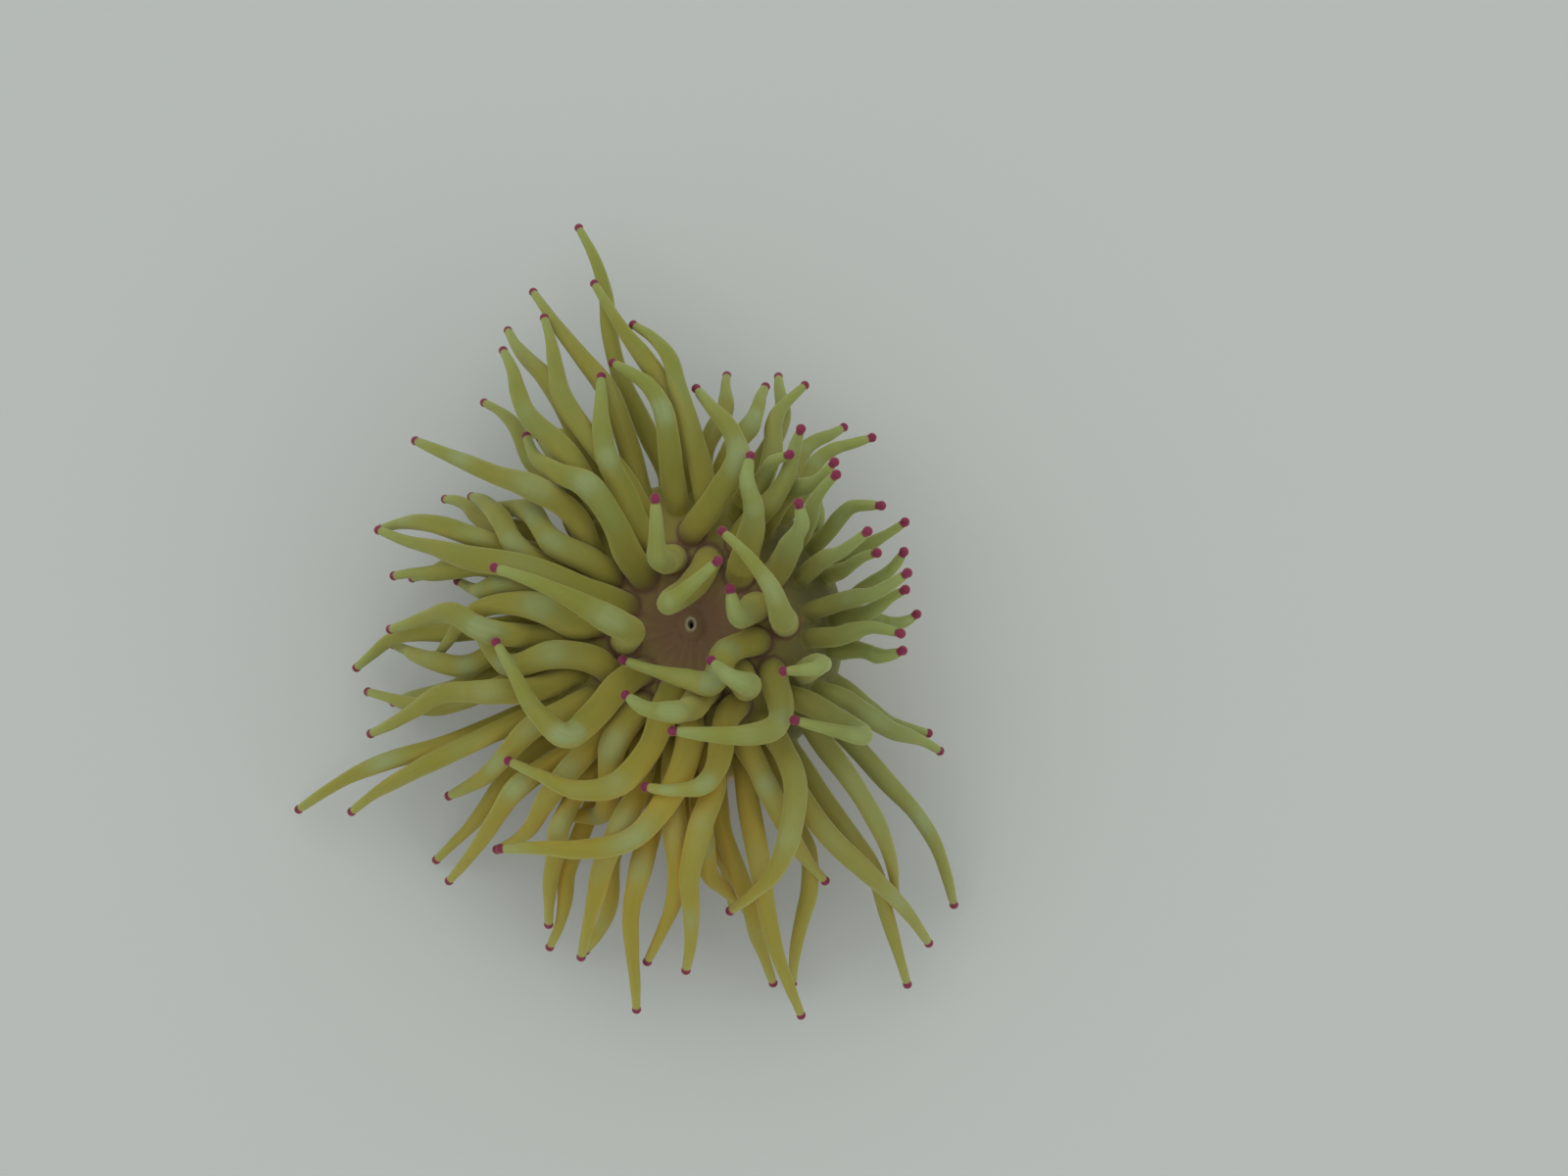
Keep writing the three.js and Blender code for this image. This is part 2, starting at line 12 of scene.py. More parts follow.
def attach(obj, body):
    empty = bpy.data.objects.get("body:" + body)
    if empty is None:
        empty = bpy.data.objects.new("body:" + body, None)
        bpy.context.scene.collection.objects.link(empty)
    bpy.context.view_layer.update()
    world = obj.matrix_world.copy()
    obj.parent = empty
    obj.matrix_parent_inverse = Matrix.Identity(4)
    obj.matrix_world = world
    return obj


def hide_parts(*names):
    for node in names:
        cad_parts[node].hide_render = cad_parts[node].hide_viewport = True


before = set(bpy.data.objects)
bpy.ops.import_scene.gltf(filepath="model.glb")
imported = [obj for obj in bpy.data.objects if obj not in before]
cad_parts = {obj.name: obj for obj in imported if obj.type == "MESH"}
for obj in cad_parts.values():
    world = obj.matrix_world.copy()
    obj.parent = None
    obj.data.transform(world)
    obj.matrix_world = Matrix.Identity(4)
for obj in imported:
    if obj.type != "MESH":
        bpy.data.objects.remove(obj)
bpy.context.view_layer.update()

# ------------------------------------------------------------------ sizes of the animal
MILLIMETRE = 0.001
DISC_HEIGHT = 38.0
RIM_TUBE = 7.5
RIM_RADIUS = 20.0
RIM_HEIGHT = DISC_HEIGHT - RIM_TUBE
SECTORS = 12
KNOTS = 7
LINE_SAMPLES = 60  # straight steps of a centre line before its knots are placed
DRAWS = 7  # seeds set aside for each tentacle's own chances
ROOT_NECK = 0.16
NECK_END = 0.12
TIP_RADIUS = 0.78
EVEN_PART = 0.6  # this part of the narrowing to the tip is even; the rest makes the slender end
SLENDER_FROM = 0.66  # the rest is centred here on the way to the tip at the least
SLENDER_SPREAD = 0.16  # and up to this much further out, by chance
SLENDER_SPAN = 0.3  # it takes this part of the length on each side of its centre

# One row per cycle, from the mouth outwards: root radius on the disc or angle round the rim,
# diameter, offsets in degrees, and the height, lift and share of reach of an unposed tentacle.
CYCLES = [
    dict(radius=12.2, diameter=5.6, offsets=(15,), tip=44, crowd=64, lift=18, share=0.5),
    dict(radius=16.8, diameter=5.3, offsets=(0,), tip=30, crowd=62, lift=16, share=0.7),
    dict(arc=76, diameter=4.7, offsets=(-6.5, 6.5), tip=24, crowd=62, lift=16, share=0.8),
    dict(arc=42, diameter=4.3, offsets=(-9.5, 3.2), tip=12, crowd=56, lift=9, share=0.92),
    dict(arc=6, diameter=4.0, offsets=(-3.2, 9.5), tip=4, crowd=48, lift=3, share=1.0),
]
REACH = 64.0
LONG_REACH = 66.0  # a shorter tentacle arches less
REACH_OVAL = 5.0
REACH_LEAN = 2.0
LONG_SIDE = 106.0
CURRENT = np.array([-3.0, -1.0, 0.0])
CROWD_SIDE = 20.0
CROWD_WIDTH = 40.0
CROWD_RISE = 0.62  # the arch stands this far up between root and tip
CROWD_FANNING = 0.3  # part of the turn towards FANNING_SIDE
FANNING_SIDE = CROWD_SIDE + 10
CROWD_STILLNESS = 0.6  # part of the sideways wave lost in the crowd
CROWD_SLIM = 0.24  # part of the root's thickness lost in the crowd

# What chance does to a tentacle: the least value and the spread above it.
FREE_REACH = (0.92, 0.16)  # of the crown's reach
FREE_HEIGHT = (0.8, 0.4)  # of the cycle's tip height
CROWD_REACH = (34.0, 5.0)
CROWD_HEIGHT = (0.92, 0.16)  # of the cycle's crowded height
SWAY = (-6.0, 12.0)  # degrees from the root's azimuth to the tip's
ARCH_SWAY = 0.35  # part of the sway reached at the arch
ARCH_TURN = (-3.5, 7.0)  # degrees
ARCH_PLACE = (0.42, 0.1)  # on the way from the root out to the tip
ARCH_LIFT = (0.8, 0.4)  # of the cycle's lift
WAVE = (1.2, 1.6)
POSED_WAVE = (0.8, 0.8)

# Tentacles of the inner cycles with a pose of their own: (cycle, root azimuth): (arch, tip), each
# as azimuth, distance from the axis and height.
POSES = {
    (0, 15): ((-15, 9, 58), (22, 8, 60)),
    (0, 45): ((57, 22, 58), (68, 29, 56)),
    (0, 75): ((200, 5, 58), (50, 9, 64)),
    (0, 105): ((115, 7, 60), (106, 18, 66)),
    (0, 135): ((130, 24, 60), (131, 46, 38)),
    (0, 165): ((174, 28, 52), (161, 63, 22)),
    (0, 195): ((203, 8, 64), (168, 34, 56)),
    (0, 225): ((230, 34, 58), (187, 34, 50)),
    (0, 255): ((252, 38, 56), (218, 40, 44)),
    (0, 285): ((268, 20, 60), (234, 18, 54)),
    (0, 315): ((305, 19, 62), (294, 10, 58)),
    (0, 345): ((287, 17, 54), (215, 14, 50)),
    (1, 0): ((-10, 17, 68), (65, 14, 60)),
    (1, 30): ((32, 23, 56), (43, 26, 60)),
    (1, 90): ((70, 28, 56), (89, 42, 44)),
    (1, 120): ((118, 30, 54), (110, 47, 42)),
    (1, 210): ((196, 29, 48), (176, 43, 32)),
    (1, 270): ((265, 38, 52), (230, 52, 38)),
    (1, 300): ((278, 33, 54), (256, 31, 50)),
    (1, 330): ((305, 30, 58), (263, 21, 56)),
    (2, 96.5): ((94, 36, 54), (107, 50, 40)),
    (2, 143.5): ((145, 32, 56), (145, 64, 26)),
    (2, 306.5): ((297, 45, 56), (278, 51, 32)),
    (2, 323.5): ((326, 42, 52), (313, 26, 54)),
    (2, 336.5): ((338, 26, 66), (324, 20, 62)),
    (3, 320.5): ((315, 46, 46), (308, 60, 20)),
}
# Tips of others that arch freely to a given place: by cycle and root azimuth.
TIPS = {
    1: {60: (58, 37, 56)},
    2: {
        6.5: (8, 38, 61), 23.5: (21, 33, 64), 36.5: (41, 34, 61), 53.5: (45, 36, 57),
        66.5: (57, 33, 54), 83.5: (102, 58, 34), 113.5: (115, 66, 28), 126.5: (124, 64, 30),
        156.5: (148, 49, 24), 173.5: (168, 44, 32), 186.5: (179, 56, 26), 203.5: (197, 62, 24),
        233.5: (228, 53, 26), 246.5: (251, 62, 22), 263.5: (262, 60, 20), 276.5: (269, 61, 24),
        293.5: (298, 51, 28), 353.5: (353, 37, 56),
    },
    3: {
        3.2: (6, 38, 52), 20.5: (16, 34, 57), 80.5: (74, 48, 30), 93.2: (106, 70, 26),
        110.5: (115, 76, 16), 123.2: (121, 72, 14), 140.5: (128, 47, 26), 153.2: (160, 64, 16),
        170.5: (168, 58, 20), 183.2: (180, 58, 14), 200.5: (188, 63, 12), 213.2: (206, 72, 12),
        230.5: (224, 64, 12), 243.2: (243, 59, 14), 260.5: (261, 69, 10), 273.2: (282, 54, 14),
        290.5: (286, 72, 10), 303.2: (308, 71, 10), 350.5: (351, 38, 47),
    },
    4: {
        26.8: (26, 43, 38), 39.5: (47, 35, 36), 86.8: (84, 53, 14), 99.5: (106, 86, 14),
        116.8: (128, 55, 8), 129.5: (131, 64, 10), 146.8: (149, 58, 6), 159.5: (166, 57, 8),
        176.8: (183, 66, 6), 206.8: (202, 82, 6), 236.8: (244, 63, 6), 249.5: (250, 61, 6),
        266.8: (278, 50, 8), 279.5: (283, 65, 6), 296.8: (286, 66, 6), 309.5: (302, 75, 8),
        326.8: (315, 69, 6), 339.5: (338, 47, 20),
    },
}


# ------------------------------------------------------------------ small helpers
def chance(seed):
    """A repeatable number from 0 to 1: the fraction of 43758.5453 sin(12.9898 seed + 4.1414)."""
    value = np.sin(seed * 12.9898 + 4.1414) * 43758.5453
    return value - np.floor(value)


def turn_between(a, b):
    """Degrees from a to b, from -180 to 180."""
    return (b - a + 180) % 360 - 180


def blend(a, b, share):
    """The value that lies this share of the way from a to b."""
    return a + (b - a) * share


def within(span, luck):
    """The least value of a span plus a chance's part of its spread."""
    return span[0] + span[1] * luck


def polar(azimuth, reach, height):
    """The point at an azimuth in degrees, a distance from the axis and a height."""
    angle = np.radians(azimuth)
    return np.array([reach * np.cos(angle), reach * np.sin(angle), height])


def round_axis(turn, reach, height):
    """Points at azimuths in radians, distances from the axis and heights."""
    x, y, z = np.broadcast_arrays(reach * np.cos(turn), reach * np.sin(turn), height)
    return np.stack([x, y, z], axis=-1)


def unit(vectors):
    """The vectors at length 1."""
    return vectors / np.maximum(np.linalg.norm(vectors, axis=-1, keepdims=True), 1e-9)


def smooth_step(low, high, value):
    """3x^2 - 2x^3 of the value's share x of the way from low to high, held to 0..1."""
    x = np.clip((value - low) / (high - low), 0, 1)
    return x * x * (3 - 2 * x)


def hump(value, middle, width):
    """1 at the middle, falling on both sides as exp(-((value - middle) / width)^2)."""
    return np.exp(-(((value - middle) / width) ** 2))


def running_length(points):
    """The distance along lines of points, from 0 at each line's first point."""
    steps = np.linalg.norm(np.diff(points, axis=-2), axis=-1)
    return np.concatenate([np.zeros_like(steps[..., :1]), np.cumsum(steps, axis=-1)], axis=-1)


# ------------------------------------------------------------------ the crown's layout
def cycle_root(cycle):
    """Radius, height and lean in degrees of a cycle's roots, on the disc or round the rim."""
    if "arc" not in cycle:
        return cycle["radius"], DISC_HEIGHT, 90.0
    angle = np.radians(cycle["arc"])
    return RIM_RADIUS + RIM_TUBE * np.cos(angle), RIM_HEIGHT + RIM_TUBE * np.sin(angle), cycle["arc"]


def crown_reach(azimuth):
    """REACH + REACH_OVAL cos(2a) + REACH_LEAN cos(a), with a counted from the long side."""
    angle = np.radians(azimuth - LONG_SIDE)
    return REACH + REACH_OVAL * np.cos(2 * angle) + REACH_LEAN * np.cos(angle)


def crowding(azimuth):
    """1 in the middle of the crowded side, falling as a hump CROWD_WIDTH wide round it."""
    return hump(turn_between(CROWD_SIDE, azimuth), 0, CROWD_WIDTH)


def spread_pose(cycle, root_radius, root_height, azimuth, luck, placed):
    """Arch, tip and side wave of a tentacle that follows the crown's spread, or that arches to a
    placed tip as the others do."""
    crowd = crowding(azimuth)
    free = crown_reach(azimuth) * cycle["share"] * within(FREE_REACH, luck[0])
    low = cycle["tip"] * within(FREE_HEIGHT, luck[1])
    reach = blend(free, within(CROWD_REACH, luck[0]), crowd)
    height = blend(low, cycle["crowd"] * within(CROWD_HEIGHT, luck[1]), crowd)
    sway = within(SWAY, luck[2]) + CROWD_FANNING * crowd * turn_between(azimuth, FANNING_SIDE)
    tip = polar(azimuth + sway, reach, height) + CURRENT * (1 - crowd)
    if placed:
        sway, reach, height = turn_between(azimuth, placed[0]), placed[1], placed[2]
        tip = polar(*placed)
    lift = cycle["lift"] * within(ARCH_LIFT, luck[5]) * min(reach / LONG_REACH, 1)
    arch = polar(
        azimuth + ARCH_SWAY * sway + within(ARCH_TURN, luck[3]),
        blend(root_radius, reach, within(ARCH_PLACE, luck[4])),
        root_height + blend(lift, CROWD_RISE * (height - root_height), crowd),
    )
    return arch, tip, within(WAVE, luck[3]) * (1 - CROWD_STILLNESS * crowd)


def centre_line(root, arch, tip, wave, phase):
    """(1-t)^3 root + 3t(1-t) arch + t^3 tip, swung sideways by t wave (sin 2pi(t+p) - sin 2pi p)."""
    t = np.linspace(0, 1, LINE_SAMPLES + 1)[:, None]
    side = unit(np.cross(tip - root, [0.0, 0.0, 1.0]))
    swing = np.sin(2 * np.pi * (t + phase)) - np.sin(2 * np.pi * phase)
    return (1 - t) ** 3 * root + 3 * t * (1 - t) * arch + t**3 * tip + side * wave * swing * t


def equal_stations(points, count):
    """Points at equal distances along a line of points."""
    run = running_length(points)
    target = np.linspace(0, run[-1], count)
    return np.stack([np.interp(target, run, values) for values in points.T], axis=1)


def lay_out_crown():
    """Knots, shape (radius and start of the slender end), leaving direction, cycle, azimuth and
    chances of each tentacle."""
    tentacles = []
    for number, cycle in enumerate(CYCLES):
        root_radius, root_height, lean = cycle_root(cycle)
        for sector in range(SECTORS):
            for offset in cycle["offsets"]:
                azimuth = (360 / SECTORS * sector + offset) % 360
                luck = chance(DRAWS * (len(tentacles) + 1) + np.arange(1.0, DRAWS))
                root = polar(azimuth, root_radius, root_height)
                name = round(azimuth, 1)
                if (number, name) in POSES:
                    arch, tip = (polar(*place) for place in POSES[number, name])
                    wave, slim = within(POSED_WAVE, luck[3]), 0
                else:
                    placed = TIPS.get(number, {}).get(name)
                    arch, tip, wave = spread_pose(cycle, root_radius, root_height, azimuth, luck, placed)
                    slim = CROWD_SLIM * crowding(azimuth)
                tentacles.append((
                    equal_stations(centre_line(root, arch, tip, wave, luck[5]), KNOTS),
                    (cycle["diameter"] / 2 * (1 - slim), SLENDER_FROM + SLENDER_SPREAD * luck[4]),
                    polar(azimuth, np.cos(np.radians(lean)), np.sin(np.radians(lean))),
                    number, azimuth, luck,
                ))
    return tuple(np.array(values) for values in zip(*tentacles))


def thickness(shapes, t):
    """Each tentacle's radius at the parts t of its length: a slim neck, then narrowing to the tip
    partly evenly and partly where its slender end begins."""
    radius, slender = shapes[:, :1], shapes[:, 1:]
    neck = 1 - ROOT_NECK * (1 - np.minimum(t / NECK_END, 1))
    ending = smooth_step(slender - SLENDER_SPAN, slender + SLENDER_SPAN, t)
    return blend(radius * neck, TIP_RADIUS, EVEN_PART * t + (1 - EVEN_PART) * ending)


# ------------------------------------------------------------------ keeping tentacles apart
BEADS_PER_SPAN = 4
ROUNDS = 90
SEARCH_EVERY = 6
SEARCH_DISTANCE = 8.0
CORNER = 1.1
CLEARANCE = 0.35
FLOOR_CLEARANCE = 1.0


def close_pairs(points, owners, distance):
    """Index pairs of points of different owners that lie nearer than the distance."""
    square = (points**2).sum(axis=1)
    apart = square[:, None] + square[None] - 2 * points @ points.T
    near = (apart < distance**2) & (owners[:, None] != owners[None])
    first, second = np.nonzero(near)
    keep = first < second
    return first[keep], second[keep]


def overlaps(beads, sizes, pairs, clearance):
    """The first and second beads of the pairs that stand too close, and the push from the second
    to the first that takes up half of what they lack."""
    first, second = pairs
    between = beads[first] - beads[second]
    distance = np.linalg.norm(between, axis=1)
    lack = sizes[first] + sizes[second] + clearance - distance
    tight = lack > 0
    push = between[tight] * (0.5 * lack[tight] / distance[tight])[:, None]
    return first[tight], second[tight], push


def clear_of_body(points, radius, clearance, floor_clearance):
    """Moves points out of the rounded rim, then above the floor."""
    distance = np.hypot(points[..., 0], points[..., 1])
    outward = np.maximum(distance - RIM_RADIUS, 0)
    upward = points[..., 2] - RIM_HEIGHT
    away = np.hypot(outward, upward)
    lack = np.maximum(radius + clearance + RIM_TUBE - away, 0)
    points[..., :2] *= (1 + lack * outward / (away * distance))[..., None]
    points[..., 2] += lack * upward / away
    points[..., 2] = np.maximum(points[..., 2], radius + floor_clearance)


def relax(knots, shapes):
    """Slides tentacles off one another: close beads push apart, and their knots share the push."""
    count = len(knots)
    steps = np.arange((KNOTS - 1) * BEADS_PER_SPAN + 1)
    span = np.minimum(steps // BEADS_PER_SPAN, KNOTS - 2)
    share = steps / BEADS_PER_SPAN - span
    bead_radius = (thickness(shapes, steps / steps[-1]) * CORNER).ravel()
    owner = np.repeat(np.arange(count), len(steps))
    bead_knot = owner * KNOTS + np.tile(span, count)
    bead_share = np.tile(share, count)
    knot_radius = thickness(shapes, np.arange(KNOTS) / (KNOTS - 1)) * CORNER
    hold = np.minimum(np.arange(KNOTS) / 2, 1)[None, :, None]
    for turn in range(ROUNDS):
        at = knots[:, span] * (1 - share)[None, :, None] + knots[:, span + 1] * share[None, :, None]
        at = at.reshape(-1, 3)
        if turn % SEARCH_EVERY == 0:
            pairs = close_pairs(at, owner, SEARCH_DISTANCE)
        first, second, push = overlaps(at, bead_radius, pairs, CLEARANCE)
        total = np.zeros((count * KNOTS, 3))
        weight = np.zeros(count * KNOTS)
        for bead, sign in ((first, 1), (second, -1)):
            for shift, part in ((0, 1 - bead_share[bead]), (1, bead_share[bead])):
                np.add.at(total, bead_knot[bead] + shift, sign * push * part[:, None])
                np.add.at(weight, bead_knot[bead] + shift, part)
        moves = (total / np.maximum(weight, 1)[:, None]).reshape(count, KNOTS, 3)
        smooth = 0.5 * moves
        smooth[:, 1:-1] += 0.25 * (moves[:, :-2] + moves[:, 2:])
        smooth[:, -1] += 0.5 * moves[:, -1]
        knots[:, 1:] += (0.5 * hold * (moves + smooth))[:, 1:]
        clear_of_body(knots[:, 1:], knot_radius[:, 1:], CLEARANCE, FLOOR_CLEARANCE)
    return knots


# ------------------------------------------------------------------ smooth centre lines
FINE = 49  # stations of the smooth line
SETTLE_ROUNDS = 48
SETTLE_SEARCH_EVERY = 8
SETTLE_SEARCH_DISTANCE = 7.0
SETTLE_CLEARANCE = 0.12
SETTLE_STEP = 1.3  # part of the spread push that each round takes
SETTLE_SPREAD = 3  # times that a push is smoothed along its line
ROOT_STATIONS = 3  # the first stations lie inside the body
SETTLE_HOLD = (1, 9)  # the stations over which the hold of the root fades out
BODY_CLEARANCE = 0.1
LOW_CLEARANCE = 0.4


def smooth_lines(knots, leaving):
    """Cubic Hermite curves through the knots. The first tangent follows the leaving direction."""
    tangents = np.empty_like(knots)
    tangents[:, 1:-1] = (knots[:, 2:] - knots[:, :-2]) / 2
    step = np.linalg.norm(knots[:, 1] - knots[:, 0], axis=1, keepdims=True)
    tangents[:, 0] = leaving * step
    tangents[:, -1] = knots[:, -1] - knots[:, -2]
    place = np.linspace(0, KNOTS - 1, FINE)
    k = np.minimum(place.astype(int), KNOTS - 2)
    t = (place - k)[None, :, None]
    a, b = knots[:, k], knots[:, k + 1]
    u, v = tangents[:, k], tangents[:, k + 1]
    return (
        (2 * t**3 - 3 * t**2 + 1) * a
        + (t**3 - 2 * t**2 + t) * u
        + (-2 * t**3 + 3 * t**2) * b
        + (t**3 - t**2) * v
    )


def spread_along(values, times):
    """Repeated quarter-half-quarter smoothing along the second axis."""
    for _ in range(times):
        values = np.concatenate([values[:, :1], values, values[:, -1:]], axis=1)
        values = 0.25 * values[:, :-2] + 0.5 * values[:, 1:-1] + 0.25 * values[:, 2:]
    return values


def settle(lines, radius):
    """Clears the last overlaps of the smooth lines with soft pushes spread along each line."""
    count, stations = lines.shape[:2]
    owner = np.repeat(np.arange(count), stations)
    hold = smooth_step(*SETTLE_HOLD, np.arange(stations))[None, :, None]
    for turn in range(SETTLE_ROUNDS):
        at = lines.reshape(-1, 3)
        if turn % SETTLE_SEARCH_EVERY == 0:
            pairs = close_pairs(at, owner, SETTLE_SEARCH_DISTANCE)
        first, second, push = overlaps(at, radius.ravel(), pairs, SETTLE_CLEARANCE)
        total = np.zeros((count * stations, 3))
        weight = np.zeros(count * stations)
        for bead, sign in ((first, 1), (second, -1)):
            np.add.at(total, bead, sign * push)
            np.add.at(weight, bead, 1.0)
        moves = (total / np.maximum(weight, 1)[:, None]).reshape(count, stations, 3)
        lines = lines + spread_along(moves, SETTLE_SPREAD) * hold * SETTLE_STEP
        free = slice(ROOT_STATIONS, None)
        clear_of_body(lines[:, free], radius[:, free], BODY_CLEARANCE, LOW_CLEARANCE)
    return lines


# ------------------------------------------------------------------ the body's surface
RIM_END = np.radians(-52.0)  # where the rim's rounding meets the column
RIM_LENGTH = RIM_TUBE * (np.pi / 2 - RIM_END)
CROWN_LENGTH = RIM_RADIUS + RIM_LENGTH  # from the mouth over the disc and rim to the column
DISH_DEPTH = 1.1
RIDGES = 24
RIDGE_HEIGHT = 0.13
MOUTH_WIDTH = 0.8  # half the lips' ring, across the slit
MOUTH_STRETCH = 1.35
LIP_HEIGHT = 0.75
LIP_FOOT = 0.35  # height of the wider swelling that the lips stand on
THROAT_DEPTH = 2.4
CURVE_STEPS = 12  # fine steps for each knot of an outline
COLUMN_SEGMENTS = 168
COLUMN_ROWS = 54
COLUMN_OUTLINE = np.array([  # radius and height from under the rim down to the floor
    (RIM_RADIUS + RIM_TUBE * np.cos(RIM_END), RIM_HEIGHT + RIM_TUBE * np.sin(RIM_END)),
    (22.6, 22.1),
    (21.0, 19.6),
    (20.1, 16.8),
    (20.0, 13.4),
    (20.7, 9.8),
    (21.9, 6.6),
    (23.6, 3.7),
    (25.0, 2.0),
    (25.4, 0.9),
    (25.1, 0.2),
    (24.4, 0.0),
])
# Broad soft bulges of the column: size, waves round it, radians per millimetre up it and phase.
BULGES = ((0.42, 2, 0.2, 1.1), (0.26, 5, -0.33, 0.0), (0.15, 9, 0.5, 2.0))
FOLD_SIZE = 0.34
FURROW_SIZE = 0.05
CREASE_SIZE = 0.14
WAIST_HEIGHT = 12.5  # the middle of the zone with creases
WAIST_ZONE = 4.5


def rim_bend(run):
    """The angle turned round the rim, at a distance from the mouth along the skin."""
    return np.clip(run - RIM_RADIUS, 0, None) / RIM_TUBE


def crown_reach_of(run):
    """Distance from the axis at a distance from the mouth along the skin: the same as far as
    RIM_RADIUS, and then RIM_TUBE times the sine of the rim's bend is added."""
    return np.minimum(run, RIM_RADIUS) + RIM_TUBE * np.sin(rim_bend(run))


def root_run_of(cycle):
    """Distance of a cycle's roots from the mouth along the skin."""
    if "arc" not in cycle:
        return cycle["radius"]
    return RIM_RADIUS + RIM_TUBE * (np.pi / 2 - np.radians(cycle["arc"]))


def mouth_distance(x, y):
    """1 on the crest of the lips, 0 at the middle of the slit: an ellipse longer along Y."""
    return np.hypot(x / MOUTH_WIDTH, y / (MOUTH_WIDTH * MOUTH_STRETCH))


def crown_surface(run, azimuth):
    """The disc and rim: flat to RIM_RADIUS, then round an arc, plus the disc's relief along its
    normal: a shallow dish, fine radial ridges, the raised lips and the throat."""
    bend = rim_bend(run)
    q = mouth_distance(run * np.cos(azimuth), run * np.sin(azimuth))
    dish = -DISH_DEPTH * (1 - smooth_step(2.5, 9.2, run)) * smooth_step(0, 3.5, run)
    ridges = RIDGE_HEIGHT * np.cos(RIDGES * azimuth + 0.8 * np.sin(3 * azimuth))
    ridges = ridges * smooth_step(1.6, 4, run) * (1 - smooth_step(7.5, 9.4, run))
    lips = LIP_HEIGHT * hump(q, 1.0, 0.42) + LIP_FOOT * hump(q, 1.9, 0.8)
    throat = -THROAT_DEPTH * (1 - smooth_step(0.25, 0.85, q))
    relief = dish + ridges + lips + throat
    height = RIM_HEIGHT + RIM_TUBE * np.cos(bend) + relief * np.cos(bend)
    return round_axis(azimuth, crown_reach_of(run) + relief * np.sin(bend), height)


def curve_through(knots, count):
    """A Catmull-Rom curve through the knots, sampled at equal distances."""
    ends = np.concatenate([[2 * knots[0] - knots[1]], knots, [2 * knots[-1] - knots[-2]]])
    place = np.linspace(0, len(knots) - 1, CURVE_STEPS * len(knots))
    k = np.minimum(place.astype(int), len(knots) - 2)
    t = (place - k)[:, None]
    a, b, c, d = (ends[k + step] for step in range(4))
    square, cube = 2 * a - 5 * b + 4 * c - d, 3 * b - a - 3 * c + d
    return equal_stations(0.5 * (2 * b + (c - a) * t + square * t**2 + cube * t**3), count)


def column_surface(azimuth):
    """The column's outline turned round the axis, with broad soft bulges, folds that run round
    it, faint lengthwise furrows and a few short creases across the waist, which all fade out at
    the rim and the floor, and a wavy foot: each is a sine of the azimuth, the height or both."""
    outline = curve_through(COLUMN_OUTLINE, COLUMN_ROWS + 1)
    radius, height = outline[:, :1], np.maximum(outline[:, 1:], 0)
    bulges = 0
    for size, waves, up, phase in BULGES:
        bulges = bulges + size * np.sin(waves * azimuth + up * height + phase)
    folds = np.sin(1.15 * height + 0.9 * np.sin(2 * azimuth + 0.4) + 0.6 * np.sin(5 * azimuth + 1.3))
    folds = FOLD_SIZE * folds * (0.65 + 0.35 * np.sin(3 * azimuth + 0.15 * height))
    furrows = np.cos(RIDGES * azimuth + 0.9 * np.sin(height * 0.35) + 0.8 * np.sin(4 * azimuth))
    creases = np.sin(2.6 * height + 1.4 * np.sin(3 * azimuth) + 1.1 * np.sin(7 * azimuth + 0.6))
    creases = CREASE_SIZE * creases * hump(height, WAIST_HEIGHT, WAIST_ZONE)
    creases = creases * np.sin(2.5 * azimuth + 0.7) ** 2
    fade = smooth_step(0.2, 5.0, height) * (1 - smooth_step(19, 24.4, height))
    foot = 0.3 * np.sin(11 * azimuth + np.sin(4 * azimuth)) + 0.35 * np.sin(4 * azimuth + 0.9)
    foot = foot * (1 - smooth_step(2.2, 7, height)) * smooth_step(-0.4, 1.4, height)
    relief = (bulges + folds + FURROW_SIZE * furrows + creases) * fade
    return round_axis(azimuth, radius + relief + foot, height)


# ------------------------------------------------------------------ the tentacles' surfaces
FLARES = np.array([0.5, 0.4, 0.15, 0.12, 0.4])  # how far a root spreads into the body, by cycle
FLARE_HEIGHT = 2.2
FLARE_CURVE = 2.6
ROOT_RINGS = np.array([0.0, 0.22, 0.55, 1.0, 1.6, 2.4])
SHAFT_GAP = 1.1  # from the last root ring to the shaft's first
CAP_RINGS = np.radians([0, 18, 38, 58, 76])  # up the round end, from its widest ring
TIP_REACH = 0.7  # the tip stands out past the last station by this part of its radius
NECK_RINGS = np.array([3.2, 2.6, 2.1, 1.6, 1.2])  # rings near the bead: tip radii from the end
NECK_GAP = 1.8  # tip radii from the shaft's last ring to the first of those
NECK_SLIM = 0.12  # the neck below the bead is slimmer by this part
BEAD_SWELL = 0.15  # and the bead is thicker
BEND_SWELL = 0.08
SLOW_WAVES = ((0.05, 9, 1.0), (0.03, 21, 2.3))  # size, waves along a tentacle, share of its phase
HUG = (0.3, 2.6)  # over these distances from the root the rings stop hugging the body
SHELTER_GAIN = 1.3
SHELTER_FADE = 160.0  # square millimetres
SHELTER_NEAR = 0.5  # square millimetres, the least that counts
SHELTER_BATCH = 1500  # points worked out at a time


def sample_lines(values, run, wanted):
    """Each row's values, given at its own distances, read off at wanted distances by straight
    interpolation, and carried on at the same slope past the end."""
    rows = np.arange(len(values))[:, None]
    place = np.array([np.searchsorted(own, there) for own, there in zip(run, wanted)])
    place = np.clip(place, 1, values.shape[1] - 1)
    low, high = run[rows, place - 1], run[rows, place]
    share = ((wanted - low) / (high - low))[..., None]
    return values[rows, place - 1] * (1 - share) + values[rows, place] * share


